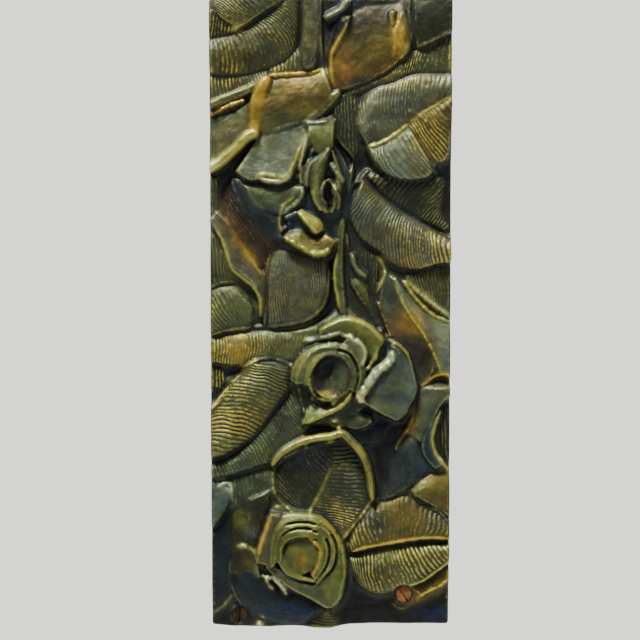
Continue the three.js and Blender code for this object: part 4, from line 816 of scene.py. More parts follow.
          line=[(-41.6, -101), (-38, -100.9), (-35, -102.3), (-33.2, -104.4), (-32.5, -107.6)],
          half=0.9, top=10.8, proud=1.1, tone="straw"),
    Leaf("rose3_left_fold",
         root=[(-40.6, -102), (-41, -108), (-38.6, -114)],
         edge=[(-32.8, -107.4), (-31.8, -111), (-31, -115)],
         rise=(7.6, 8), lift=(9.6, 9.4), swell=-0.6, pad=0.3, lines=4, tone="ash"),
    Ridge("rose3_ragged_lip",
          line=[(-30.4, -113.8), (-28, -115.2), (-25.4, -114.3), (-23, -117), (-21, -119.6), (-19.4, -123)],
          half=0.9, top=11.8, proud=1.6, tone="pale_wear_and_highlight", crumple=0.5),
    Ridge("rose3_ragged_lip_lower",
          line=[(-28.6, -115), (-27.4, -118), (-25, -120.6)],
          half=0.7, top=10.8, proud=1.2, tone="pale_wear_and_highlight"),
    Leaf("rose3_bottom_petal",
         root=[(-36, -112), (-31, -115.5), (-26, -120), (-20, -121.5), (-11, -124), (-3, -128.6)],
         edge=[(-44.4, -112), (-42.8, -123), (-36, -131.6), (-25, -136.6), (-13, -137.6), (-4, -132.5)],
         rise=(8.4, 6), lift=(4.6, 4), swell=1.4, fall=1.7, lines=9, tone="deep"),
    Ridge("rose3_bottom_petal_edge",
          line=[(-44, -104), (-44.4, -113), (-43.3, -121), (-40, -127), (-36, -131.4)],
          half=0.5, top=7.2, tone="deep"),
    Leaf("small_bottom_leaf",
         root=[(-2, -128.4), (-6.5, -133), (-12, -141)],
         edge=[(-1.5, -128.4), (2, -134), (4, -141)],
         rise=(5, 5), lift=(5.2, 5.2), swell=1.5, veins=11, cut=0.28, tone="olive"),
    Leaf("left_strip_leaf",
         root=[(-55, -70), (-48, -73), (-43.6, -75)],
         edge=[(-55, -97), (-50, -91), (-44, -82)],
         rise=(5.8, 6), lift=(6.2, 6.4), swell=2.1, tone="sea"),
    Ridge("left_strip_hook",
          line=[(-50, -75.6), (-46.7, -73.4), (-43.9, -75), (-43.6, -80.5)],
          half=0.6, top=7.8, tone="pale_wear_and_highlight"),
    Leaf("left_low_leaf",
         root=[(-55, -98), (-50, -92), (-45, -84)],
         edge=[(-55, -130), (-49, -127), (-44.6, -121)],
         rise=(4.2, 4.4), lift=(4.6, 4.6), swell=1.3, tone="deep"),
    Ridge("left_lower_ridge",
          line=[(-55, -135), (-50, -130.5), (-47, -128.3), (-43.4, -123.6)],
          half=0.9, top=6.6, tone="ash"),
    Leaf("mottled_leaf",
         root=[(-46, -71), (-36, -68.3), (-26.5, -65.5)],
         edge=[(-43, -84), (-35, -87), (-26, -86)],
         rise=(4.8, 5), lift=(6.6, 7), swell=1.6, veins=10, cut=0.22, tone="leaf"),
    Bowl("small_knob",
         centre=(-30, -133.4), ring=(-30, -133.4, 1.3, 1.1), low=5.8, high=3.6, power=2, tone="pale_wear_and_highlight"),
    Bowl("small_knob_lower",
         centre=(-31.6, -136.9), ring=(-31.6, -136.9, 1.3, 1.1), low=5.8, high=3.6, power=2, tone="pale_wear_and_highlight"),
]


# Patina tones as linear colours. Some are painted light rather than patina: the near-black and blue-black tones are
# painted shade, and the pale yellow-white one is rubbed pale metal together with painted highlight.
TONES = {
    "plate": (0.01, 0.013, 0.012),
    "bronze": (0.052, 0.057, 0.021),
    "olive": (0.074, 0.082, 0.026),
    "moss": (0.098, 0.114, 0.027),
    "stone": (0.0713, 0.075, 0.0397),
    "sage": (0.062, 0.0713, 0.0372),
    "ash": (0.1, 0.118, 0.07),
    # pale yellow-white on rims, lips, knobs and beads: rubbed pale metal and painted highlight
    "pale_wear_and_highlight": (0.38, 0.4, 0.19),
    "straw": (0.25, 0.245, 0.05),
    "gold": (0.36, 0.235, 0.02),
    "ochre": (0.09, 0.072, 0.014),
    "rust": (0.15, 0.078, 0.014),
    "umber": (0.024, 0.0165, 0.009),
    "dark": (0.0223, 0.0254, 0.0118),
    "leaf": (0.0484, 0.0657, 0.0298),
    "sea": (0.0713, 0.0961, 0.0682),
    "slate": (0.0203, 0.0315, 0.0345),
    # blue-black painted shade, for recesses, undersides and downturned petals
    "deep": (0.0091, 0.0154, 0.0196),
    "blue": (0.0117, 0.0162, 0.0495),
    # near-black painted shade, for the shadow under rims and in deep hollows
    "painted_shade": (0.0049, 0.0063, 0.0056),
}

# Named places of colour: stains, dust, rust and rubbed gold, and also painted shade where the near-black and
# blue-black tones are laid, and the few places noted below
PLACES = [
    Place("straw", -40, 125, 2.2, 1.8, 0, 0.9),
    Place("ochre", -44, 111, 9, 5, 10, 0.5),
    Place("gilt", -43, 104, 12, 5, 0, 0.9),
    Place("gilt", -28, 107, 8, 3, 10, 0.9),
    Place("gilt", -46, 128, 9, 6, 30, 0.6),
    Place("gilt", -34, 118, 14, 9, 20, 0.45),
    Place("umber", -45, 79, 9, 4, 40, 0.5),
    Place("dark", -45, 88, 9, 3, 20, 0.9),
    Place("gold", -17, 105.5, 7, 1, 3, 0.8),
    Place("rust", -16, 101, 5, 3.4, 0, 0.45),
    Place("umber", -18, 94, 8, 3.4, 10, 0.4),
    Place("leaf", -22, 86, 9, 3, 10, 0.6),
    Place("rust", 6, 109, 4.5, 8, 5, 0.9),
    Place("rust", 22, 107, 7, 3, 30, 0.5),
    Place("slate", 13, 102, 6, 2.6, 10, 0.8),
    # The gold hollow's upper part, darkened as painted shade under its rim
    Place("painted_shade", 15, 130, 12, 7, 10, 0.95),
    Place("deep", 30, 131, 7, 8, 0, 0.6),
    Place("dark", 12, 120, 5, 4, 30, 0.5),
    Place("mottle", 20, 114, 12, 11, 40, 0.9),
    Place("mottle", -31, 92, 12, 3, 72, 0.6),
    Place("gold", 29, 122, 2.5, 9, 5, 0.8),
    Place("pale_wear_and_highlight", -51, 66, 5, 1.6, 30, 0.8),
    Place("gilt", 40, 110, 15, 6, 15, 1.0),
    Place("ochre", 33, 101.5, 8, 3, 10, 0.4),
    Place("slate", 30, 92, 5, 7, -30, 0.4),
    Place("rust", 43, 75, 6, 5, 0, 0.35),
    Place("ochre", 40, 64, 6, 3, 0, 0.6),
    Place("gilt", 41, 76, 12, 12, 0, 0.6),
    Place("moss", -4, 79, 5, 4, 0, 0.6),
    Place("ash", -24, 72, 9, 8, 0, 0.3),
    Place("leaf", -24, 53, 9, 4, 0, 0.3),
    Place("deep", -27, 42, 7, 6, -40, 0.7),
    Place("blue", -18, 42, 3.5, 3.5, 0, 0.5),
    Place("blue", -8, 49, 3.4, 4, 0, 0.5),
    Place("straw", -10, 30.5, 9, 2.2, -30, 0.6),
    Place("gold", -5.5, 39, 2.2, 1.6, -40, 0.7),
    Place("rust", 32, 25, 10, 3, -20, 0.35),
    Place("slate", 13, 46, 5, 10, 20, 0.5),
    Place("gilt", 44, 30, 12, 9, -30, 0.8),
    Place("pale_wear_and_highlight", 44, 7, 9, 1.6, -42, 0.5),
    Place("slate", 25, 11, 3, 7, 10, 0.5),
    Place("gold", 35, -2, 4.5, 6, 35, 0.6),
    Place("rust", 32, -6, 6, 7, 30, 0.7),
    Place("umber", 40, -17, 5, 9, 25, 0.95),
    Place("umber", 33, -14, 5, 4, -40, 0.7),
    Place("gilt", 36, -8, 8, 14, 30, 0.7),
    Place("rust", -36, 27, 4, 11, 40, 0.35),
    Place("gold", -37, 29, 1.6, 8, 40, 0.5),
    Place("rust", -44, 40, 4, 8, 30, 0.4),
    Place("gold", -40, -14, 7, 6, 30, 0.45),
    Place("gilt", -42, -14, 12, 7, 0, 0.8),
    Place("umber", -22, -11, 5, 3, 0, 0.5),
    Place("moss", -8, -6, 7, 3, 10, 0.8),
    Place("gilt", -44, -38, 12, 14, 0, 0.85),
    Place("ochre", -47, -46, 8, 5, 0, 0.5),
    Place("slate", -27, -28, 9, 5, 30, 0.45),
    Place("leaf", -36, -60, 10, 5, -20, 0.4),
    Place("umber", -22, -46, 5, 6, 30, 0.5),
    Place("straw", -12, -21, 6, 3, 40, 0.4),
    # The second rose's heart: a painted highlight on its upturned lower wall, painted shadow in its upper part, and
    # a brown left wall, partly its own colour and partly painted shade
    Place("straw", -3, -33.2, 2.6, 1.4, 0, 0.95),
    Place("painted_shade", -2, -20.5, 3.4, 5.4, -10, 0.95),
    Place("umber", -6, -27, 2.4, 5, 0, 0.8),
    Place("blue", 29, -35, 9, 2.6, -10, 0.5),
    Place("moss", 25, -40, 7, 2, -20, 0.5),
    # Painted shade in the hollow beside the second rose
    Place("painted_shade", 22, -60, 7, 14, -15, 0.95),
    Place("rust", 35, -47, 2.6, 8, -20, 0.6),
    # Painted shade under the second rose's lower petals
    Place("deep", 14, -52, 9, 4, 0, 0.9),
    Place("slate", 33, -62, 8, 9, 0, 0.4),
    Place("blue", 40, -66, 4, 4, 0, 0.3),
    Place("moss", 39, -76, 7, 3, 10, 0.6),
    Place("slate", 18, -91, 8, 6, 0, 0.6),
    Place("slate", 47, -90, 6, 5, 0, 0.6),
    Place("gilt", 30, -104, 22, 16, 0, 0.8),
    Place("deep", 15, -112, 5, 7, 30, 0.6),
    Place("deep", 6, -75, 10, 7, -20, 0.35),
    Place("ochre", 7, -90, 8, 6, -30, 0.5),
    Place("gilt", 6, -88, 9, 8, 0, 0.7),
    Place("slate", -10, -62, 12, 5, 0, 0.7),
    Place("gilt", 47, -121, 9, 6, 35, 0.9),
    Place("ochre", 46, -122, 7, 4, 35, 0.5),
    Place("ochre", -34, -107, 4, 4, 0, 0.5),
    Place("mottle", -35, -84, 9, 13, 0, 0.9),
    Place("moss", -40, -88, 4.5, 4.5, 0, 0.8),
    Place("ash", -34, -94, 4, 2.4, 0, 0.6),
    Place("gold", -12.5, -107, 3, 3, 0, 0.35),
    # Painted shadow of the third rose's upper rim on its dome
    Place("dark", -13, -99, 5, 2, 0, 0.7),
    Place("umber", -9, -110, 4, 2, -40, 0.5),
    Place("deep", -30, -124, 9, 9, 0, 0.6),
    Place("blue", -18, -131, 9, 4, 0, 0.6),
    Place("umber", -26, -111.4, 3.4, 1.8, 0, 0.9),
    Place("umber", -36, -104, 3.6, 2.4, 0, 0.7),
    Place("blue", 47, -133, 7, 3, 0, 0.6),
    Place("moss", 3, -7, 9, 3, 10, 0.3),
]


def curve(points, share):
    """Places on a smooth curve through points, by share of its numbering from 0 to 1."""
    given = np.asarray(points, float)
    if len(given) == 2:
        return given[0] + (given[1] - given[0]) * share[..., None]
    ends = np.vstack([2 * given[0] - given[1], given, 2 * given[-1] - given[-2]])
    along = np.clip(share, 0, 1) * (len(given) - 1)
    start = np.minimum(along.astype(int), len(given) - 2)
    f = (along - start)[..., None]
    a, b, c, d = ends[start], ends[start + 1], ends[start + 2], ends[start + 3]
    slope = c - a
    bend = 2 * a - 5 * b + 4 * c - d
    twist = 3 * b - a - 3 * c + d
    return 0.5 * (2 * b + slope * f + bend * f**2 + twist * f**3)


def direction(points, share):
    """Unit directions along the curve."""
    step = 0.005
    way = curve(points, np.clip(share + step, 0, 1)) - curve(points, np.clip(share - step, 0, 1))
    return way / (np.linalg.norm(way, axis=-1, keepdims=True) + 1e-9)


def length_of(points):
    return float(np.sum(np.linalg.norm(np.diff(np.asarray(points, float), axis=0), axis=1)))


def noise_over(shape, cell, size, seed):
    """Soft noise from -1 to 1 over a field of cells, with blots of about the given size."""
    rows = int(shape[0] * cell / size) + 3
    cols = int(shape[1] * cell / size) + 3
    lattice = np.random.default_rng(seed).uniform(-1, 1, (rows, cols))
    r = np.arange(shape[0]) * cell / size
    c = np.arange(shape[1]) * cell / size
    i, j = r.astype(int), c.astype(int)
    u, v = r - i, c - j
    u = (u * u * (3 - 2 * u))[:, None]
    v = (v * v * (3 - 2 * v))[None, :]
    top = lattice[np.ix_(i, j)] * (1 - v) + lattice[np.ix_(i, j + 1)] * v
    low = lattice[np.ix_(i + 1, j)] * (1 - v) + lattice[np.ix_(i + 1, j + 1)] * v
    return top * (1 - u) + low * u


def softened(field, spread, cell):
    """The field blurred by a bell curve of the given spread in millimetres."""
    reach = max(1, int(round(3 * spread / cell)))
    steps = np.arange(-reach, reach + 1)
    bell = np.exp(-0.5 * (steps * cell / spread) ** 2)
    bell /= bell.sum()
    for axis in (0, 1):
        pad = [(reach, reach) if k == axis else (0, 0) for k in range(2)]
        wide = np.pad(field, pad, mode="edge")
        count = field.shape[axis]
        total = np.zeros_like(field)
        for k, weight in enumerate(bell):
            part = slice(k, k + count)
            total += weight * (wide[part] if axis == 0 else wide[:, part])
        field = total
    return field


def higher_of(a, b, fillet):
    """The higher of two heights, with a fillet of the given size where they meet."""
    near = np.maximum(fillet - np.abs(a - b), 0)
    return np.maximum(a, b) + near**2 / (4 * fillet)


class Clay:
    """The carved front as fields over the panel: heights, veins and tones, row 0 at the foot."""

    def __init__(self, width, length, cell, ground):
        self.cell = cell
        self.width = width
        self.length = length
        self.shape = (int(round(length / cell)), int(round(width / cell)))
        self.height = np.full(self.shape, float(ground))
        self.vein = np.zeros(self.shape)
        self.gap = np.zeros(self.shape)
        self.tones = np.zeros(self.shape, int)
        self.x = (np.arange(self.shape[1]) + 0.5) * cell - width / 2
        self.z = (np.arange(self.shape[0]) + 0.5) * cell - length / 2
        self.drift = self.noise(5.0, 11)
        self.drift_across = self.noise(3.4, 12)
        self.flaw = self.noise(2.2, 13)

    def noise(self, size, seed):
        return noise_over(self.shape, self.cell, size, seed)

    def settle(self, place, *values):
        """Sorts scattered places into cells: the patch of cells, which are filled, and the means."""
        col = np.floor((place[..., 0] + self.width / 2) / self.cell).astype(int).ravel()
        row = np.floor((place[..., 1] + self.length / 2) / self.cell).astype(int).ravel()
        inside = (row >= 0) & (row < self.shape[0]) & (col >= 0) & (col < self.shape[1])
        if not inside.any():
            return None
        row, col = row[inside], col[inside]
        low_row, low_col = row.min(), col.min()
        rows = row.max() - low_row + 1
        cols = col.max() - low_col + 1
        spot = (row - low_row) * cols + col - low_col
        count = np.bincount(spot, minlength=rows * cols).reshape(rows, cols).astype(float)
        sums = []
        for value in values:
            flat = np.broadcast_to(value, place.shape[:-1]).ravel()[inside]
            sums.append(np.bincount(spot, flat, rows * cols).reshape(rows, cols))
        filled = count > 0
        gaps = ~filled & (self.around(filled.astype(float)) >= 3)
        near = np.where(gaps, self.around(count), count)
        sums = [np.where(gaps, self.around(total), total) for total in sums]
        filled |= gaps
        patch = (slice(low_row, low_row + rows), slice(low_col, low_col + cols))
        return patch, filled, [total / np.maximum(near, 1e-9) for total in sums]

    @staticmethod
    def around(field):
        """The sum of each cell's four neighbours."""
        wide = np.pad(field, 1)
        return wide[:-2, 1:-1] + wide[2:, 1:-1] + wide[1:-1, :-2] + wide[1:-1, 2:]

    def add(self, patch, filled, height, vein, fillet, tone):
        """Lays a form on: hard-edged, or run into what is there with a fillet."""
        old = self.height[patch]
        wins = filled & (height > old)
        if fillet:
            joined = higher_of(old, height, fillet)
            self.height[patch] = np.where(filled, joined, old)
        else:
            self.height[patch] = np.where(wins, height, old)
        self.vein[patch] = np.where(wins, vein, self.vein[patch])
        self.gap[patch] = np.where(wins, 0, self.gap[patch])
        if tone:
            self.tones[patch] = np.where(wins, tone, self.tones[patch])


def inside_of(clay, patch, filled, reach):
    """How far inside its outline each cell of a form lies, from 0 at the brim to 1."""
    cells = int(3 * reach / clay.cell) + 1
    soft = filled.astype(float)
    for axis in (0, 1):
        ends = (patch[axis].start == 0, patch[axis].stop == clay.shape[axis])
        for side, at_end in enumerate(ends):
            pad = [(0, 0), (0, 0)]
            pad[axis] = (cells, 0) if side == 0 else (0, cells)
            soft = np.pad(soft, pad, mode="edge" if at_end else "constant")
    soft = softened(soft, reach, clay.cell)[cells:-cells, cells:-cells]
    return np.clip(2 * soft - 1, 0, 1)


def ribs(clay, patch, leaf, along, across):
    """How far a veined leaf dips below its ribs: round ribs with narrow grooves, none quite alike."""
    drift = clay.drift[patch]
    phase = leaf.veins * along + 0.33 * drift + 0.15 * clay.drift_across[patch]
    rib = np.abs(np.sin(np.pi * phase)) ** 0.62
    number = np.floor(phase)
    uneven = 0.8 + 0.28 * np.sin(number * 12.9898)
    worn = np.clip(0.92 + 0.3 * clay.flaw[patch], 0.4, 1.1)
    fade = np.clip(across / 0.12, 0, 1) * np.clip((1.04 - across) / 0.1, 0.35, 1)
    return 2.1 * leaf.cut * (rib - 0.72) * uneven * worn * fade, rib


def fill_gaps(clay, ground):
    """Fills the gaps between forms with valleys a little below the forms around them."""
    laid = (clay.height > ground + 0.05).astype(float)
    near = softened(laid, GAP_REACH, clay.cell)
    level = softened(clay.height * laid, GAP_REACH, clay.cell) / np.maximum(near, 1e-6)
    clay.gap = 1 - laid
    filled = ground + (level - GAP_DEPTH - ground) * np.clip(2.4 * near, 0, 1)
    clay.height = np.where(laid > 0, clay.height, np.maximum(filled, ground))


def lines_over(clay, patch, leaf, along, across):
    """Fine uneven lines drawn along a petal, beside its edge."""
    phase = leaf.lines * across + 0.7 * clay.drift[patch] + 0.25 * clay.drift_across[patch]
    fine = np.sin(2 * np.pi * phase) + 0.6 * np.sin(2 * np.pi * 2.3 * phase + 5 * along)
    return LINE_DEPTH * fine * np.clip(0.6 + 0.8 * clay.flaw[patch], 0, 1.3)


def lay_leaf(clay, leaf, tone):
    longest = max(length_of(leaf.root), length_of(leaf.edge))
    pairs = zip(curve(leaf.root, np.linspace(0, 1, 9)), curve(leaf.edge, np.linspace(0, 1, 9)))
    widest = max(float(np.hypot(*(a - b))) for a, b in pairs) + abs(leaf.bow)
    step = 0.5 * clay.cell
    t = np.linspace(0, 1, int(max(24, longest / step)))[:, None]
    s = np.linspace(0, 1, int(max(12, widest / step)))[None, :]
    middle = 4 * s * (1 - s)
    way = direction(leaf.root, t) + direction(leaf.edge, t)
    way /= np.linalg.norm(way, axis=-1, keepdims=True) + 1e-9
    place = curve(leaf.root, t) * (1 - s[..., None]) + curve(leaf.edge, t) * s[..., None]
    place = place + way * (leaf.bow * middle * np.sin(np.pi * t))[..., None]
    low = leaf.rise[0] + (leaf.rise[1] - leaf.rise[0]) * t
    high = leaf.lift[0] + (leaf.lift[1] - leaf.lift[0]) * t
    height = low + (high - low) * s**leaf.fall + leaf.swell * middle
    height = height + leaf.lip * np.exp(-(((1 - s) / 0.12) ** 2))
    settled = clay.settle(place, height, t + 0 * s, s + 0 * t)
    if settled is None:
        return
    patch, filled, (height, along, across) = settled
    if leaf.pad:
        height = height - leaf.pad * (1 - inside_of(clay, patch, filled, 1.7)) ** 2
    vein = np.zeros_like(height)
    if leaf.veins:
        vein, rib = ribs(clay, patch, leaf, along, across)
        if leaf.notch:
            filled &= across < 1 - (leaf.notch / widest) * (1 - rib)
    if leaf.lines:
        vein = vein + lines_over(clay, patch, leaf, along, across)
    clay.add(patch, filled, height, vein, 0, tone)


def ground_by(clay, line, side, half):
    """The higher ground on either side of a line of places, evened out along it."""
    beside = []
    for offset in (-half - 0.6, 0, half + 0.6):
        place = line + side * offset
        col = np.clip((place[..., 0] + clay.width / 2) / clay.cell, 0, clay.shape[1] - 1)
        row = np.clip((place[..., 1] + clay.length / 2) / clay.cell, 0, clay.shape[0] - 1)
        beside.append(clay.height[row.astype(int), col.astype(int)])
    ground = np.maximum.reduce(beside)
    reach = 15
    ends = np.pad(ground[:, 0], reach, mode="edge")
    return np.convolve(ends, np.full(2 * reach + 1, 1 / (2 * reach + 1)), "valid")[:, None]


def wander(t, ridge):
    """An uneven factor about 1 along a ridge, as a hand-drawn rim swells and thins."""
    waves = length_of(ridge.line) / 5
    start = 10 * ridge.line[0][0] + ridge.line[0][1]
    wave = np.sin(2 * np.pi * waves * t + start) + 0.7 * np.sin(2 * np.pi * 2.3 * waves * t + 2 * start)
    return 1 + 0.22 * wave


def lay_ridge(clay, ridge, tone):
    seam = ridge.half < SEAM_HALF
    step = 0.5 * clay.cell
    reach = 1.5 if seam else 1.25
    t = np.linspace(0, 1, int(max(20, length_of(ridge.line) / step)))[:, None]
    s = np.linspace(-reach, reach, int(max(11, 2 * reach * ridge.half / step)))[None, :]
    taper = 0.2 + 0.8 * np.sqrt(np.clip(1 - (2 * t - 1) ** 8, 0, 1))
    way = direction(ridge.line, t)
    side = np.stack([-way[..., 1], way[..., 0]], -1)
    line = curve(ridge.line, t)
    uneven = 0.6 + 0.4 * wander(t, ridge) if seam else 1
    place = line + side * (ridge.half * taper * uneven * s)[..., None]
    top = ridge.top
    if seam:
        proud = (ridge.proud or SEAM_RISE + 0.25 * ridge.half) * wander(t, ridge)
        top = np.minimum(top, ground_by(clay, line, side, ridge.half) + proud)
    depth = min(1.9 * ridge.half, 2.6)
    fall = 0.55 * np.abs(s) ** 3.4 if ridge.flat else 1.5 * (1 - np.cos(0.9 * s))
    height = top - depth * fall - 1.4 * (1 - taper)
    settled = clay.settle(place, height, ridge.half * s + 0 * t)
    if settled is None:
        return
    patch, filled, (height, across) = settled
    line_share = np.zeros_like(height)
    if ridge.lines:
        line_share = LINE_DEPTH * np.sin(2 * np.pi * across / 0.9 + 3 * clay.drift[patch])
    swing = min(0.1 * ridge.half, 0.12)
    height = height + swing * (clay.flaw[patch] + 2 * clay.drift[patch])
    if ridge.crumple:
        height = height + ridge.crumple * (clay.noise(2.0, 31) + 0.5 * clay.noise(1.0, 32))[patch]
    clay.add(patch, filled, height, line_share, 0.5 + 0.3 * ridge.half, tone)


def lay_bowl(clay, bowl, tone):
    step = 0.5 * clay.cell
    ring_x, ring_z, across, up = bowl.ring
    turn = np.linspace(0, 2 * np.pi, int(2 * np.pi * max(across, up) / step))[:, None]
    s = np.linspace(0, 1, int(max(8, max(across, up) / step)))[None, :]
    rim = np.stack([ring_x + across * np.cos(turn), ring_z + up * np.sin(turn)], -1)
    centre = np.array(bowl.centre)
    place = centre + (rim - centre) * s[..., None]
    height = bowl.low + (bowl.high - bowl.low) * s**bowl.power + 0 * turn
    settled = clay.settle(place, height)
    if settled is None:
        return
    patch, filled, (height,) = settled
    clay.add(patch, filled, height, 0 * height, 0, tone)


LAYERS = {Leaf: lay_leaf, Ridge: lay_ridge, Bowl: lay_bowl}


def shape_front(sizes):
    """Builds the carved front up from its forms and rounds it as a wax model is rounded."""
    clay = Clay(PANEL_WIDTH, PANEL_LENGTH, CELL, sizes.plate_thickness / MM)
    names = list(TONES)
    for form in FORMS:
        if not isinstance(form, Ridge):
            LAYERS[type(form)](clay, form, names.index(form.tone or "bronze"))
    fill_gaps(clay, sizes.plate_thickness / MM)
    for form in FORMS:
        if isinstance(form, Ridge):
            lay_ridge(clay, form, names.index(form.tone or "bronze"))
    for screw in SCREWS:
        level_for_screw(clay, screw)
    body = softened(clay.height, sizes.softness / MM, clay.cell)
    veins = softened(clay.vein, 0.14, clay.cell)
    hand = 0.2 * clay.noise(4.6, 21) + 0.1 * clay.noise(1.7, 22) + 0.05 * clay.noise(0.8, 23)
    clay.height = body + sizes.vein_depth * veins + hand
    ease_edges(clay)
    return clay


def level_for_screw(clay, screw):
    """Levels the ground where a screw's head is sunk."""
    away = np.hypot(clay.x[None, :] - screw.x, clay.z[:, None] - screw.z)
    level = np.clip((BOSS_RADIUS - away) / 1.2, 0, 1)
    clay.height += (screw.seat - clay.height) * level
    clay.vein *= 1 - level


def ease_edges(clay):
    """Rounds the front's rim along the panel's sides."""
    from_side = clay.width / 2 - np.abs(clay.x)
    from_end = np.minimum(clay.length / 2 - clay.z, clay.z + clay.length / 2)
    near = np.minimum(from_side[None, :], from_end[:, None])
    clay.height -= 0.7 * np.clip(1 - near / 0.9, 0, 1) ** 2


def read(clay, field, x, z):
    """The field's values at places, evened out between cells."""
    col = np.clip((x + clay.width / 2) / clay.cell - 0.5, 0, clay.shape[1] - 1.001)
    row = np.clip((z + clay.length / 2) / clay.cell - 0.5, 0, clay.shape[0] - 1.001)
    i, j = row.astype(int), col.astype(int)
    u, v = row - i, col - j
    low = field[i, j] * (1 - v) + field[i, j + 1] * v
    top = field[i + 1, j] * (1 - v) + field[i + 1, j + 1] * v
    return low * (1 - u) + top * u


def foot_of(x):
    """The height of the panel's bottom edge across its width: wavy, with rounded corners."""
    share = (x + PANEL_WIDTH / 2) / PANEL_WIDTH
    line = np.interp(share, np.linspace(0, 1, len(FOOT_LINE)), FOOT_LINE)
    into_corner = np.clip(CORNER_RADIUS - (PANEL_WIDTH / 2 - np.abs(x)), 0, CORNER_RADIUS)
    return line + CORNER_RADIUS - np.sqrt(CORNER_RADIUS**2 - into_corner**2)


def deselect_all():
    if bpy.context.mode != "OBJECT":
        bpy.ops.object.mode_set(mode="OBJECT")
    bpy.ops.object.select_all(action="DESELECT")


def finish_modifier(piece, kind, **settings):
    """Adds a modifier with its settings and applies it."""
    modifier = piece.modifiers.new(kind.title(), kind)
    for name, value in settings.items():
        setattr(modifier, name, value)
    bpy.context.view_layer.objects.active = piece
    bpy.ops.object.modifier_apply(modifier=modifier.name)


def places_of(mesh):
    """The mesh's points in millimetres, as an array."""
    flat = np.empty(3 * len(mesh.vertices))
    mesh.vertices.foreach_get("co", flat)
    return flat.reshape(-1, 3) / MM


def make_casting(clay, sizes):
    """The casting: a grid raised to the carved front, drawn back to a flat back and closed."""
    deselect_all()
    across = int(round(PANEL_WIDTH * MM / sizes.mesh_step))
    up = int(round(PANEL_LENGTH * MM / sizes.mesh_step))
    bpy.ops.mesh.primitive_grid_add(x_subdivisions=across, y_subdivisions=up, size=1)
    piece = bpy.context.object
    piece.name = piece.data.name = "bronze_casting"
    flat = places_of(piece.data) * MM
    x = flat[:, 0] * PANEL_WIDTH
    z = flat[:, 1] * PANEL_LENGTH
    height = read(clay, clay.height, x, z)
    foot = foot_of(x)
    top = PANEL_LENGTH / 2
    near_foot = np.clip((-top + FOOT_BLEND - z) / FOOT_BLEND, 0, 1)
    placed = np.stack([x, -height, z + (foot + top) * near_foot], -1) * MM
    piece.data.vertices.foreach_set("co", placed.ravel())
    piece.data.update()
    bpy.ops.object.mode_set(mode="EDIT")
    bpy.ops.mesh.select_mode(type="EDGE")
    bpy.ops.mesh.select_all(action="DESELECT")
    bpy.ops.mesh.select_non_manifold()
    bpy.ops.mesh.extrude_region_move()
    bpy.ops.transform.resize(value=(1, 0, 1), center_override=(0, 0, 0))
    bpy.ops.mesh.edge_face_add()
    bpy.ops.mesh.select_all(action="SELECT")
    bpy.ops.mesh.quads_convert_to_tris()
    bpy.ops.mesh.normals_make_consistent(inside=False)
    bpy.ops.object.mode_set(mode="OBJECT")
    count = len(piece.data.polygons)
    finish_modifier(piece, "DECIMATE", ratio=min(1.0, TRIANGLE_LIMIT / count))
    for screw in SCREWS:
        cutter = screw_clearance(screw)
        finish_modifier(piece, "BOOLEAN", operation="DIFFERENCE", object=cutter, solver="EXACT")
        bpy.data.objects.remove(cutter)
    deselect_all()
    piece.select_set(True)
    bpy.context.view_layer.objects.active = piece
    bpy.ops.object.shade_smooth_by_angle(angle=math.radians(62))
    return piece


def turned(name, profile, centre, sides):
    """A turned piece about a line along Y: a disc drawn out and widened ring by ring."""
    deselect_all()
    first_radius, first_depth = profile[0]
    x, z = centre
    bpy.ops.mesh.primitive_circle_add(
        vertices=sides,
        radius=first_radius * MM,
        fill_type="NGON",
        location=(x * MM, first_depth * MM, z * MM),
        rotation=(math.pi / 2, 0, 0),
    )
    piece = bpy.context.object
    piece.name = piece.data.name = name
    bpy.ops.object.transform_apply(location=True, rotation=True, scale=True)
    bpy.ops.object.mode_set(mode="EDIT")
    bpy.ops.mesh.select_mode(type="FACE")
    bpy.ops.mesh.select_all(action="SELECT")
    for (radius, depth), (wider, deeper) in zip(profile, profile[1:]):
        bpy.ops.mesh.extrude_region_move(
            TRANSFORM_OT_translate={"value": (0, (deeper - depth) * MM, 0)}
        )
        factor = wider / radius
        middle = (x * MM, deeper * MM, z * MM)
        bpy.ops.transform.resize(value=(factor, 1, factor), center_override=middle)
    bpy.ops.mesh.select_all(action="SELECT")
    bpy.ops.mesh.normals_make_consistent(inside=False)
    bpy.ops.object.mode_set(mode="OBJECT")
    return piece


def screw_clearance(screw):
    """What a screw's head and shank clear away from the casting."""
    head = HEAD_RADIUS + 0.12
    shank = SHANK_RADIUS + 0.15
    seat = -screw.seat
    profile = [
        (shank, 1.0),
        (shank, seat + HEAD_RIM + head - shank),
        (head, seat + HEAD_RIM),
        (head, seat - RELIEF_DEPTH),
    ]
    return turned("screw_clearance", profile, (screw.x, screw.z), 48)


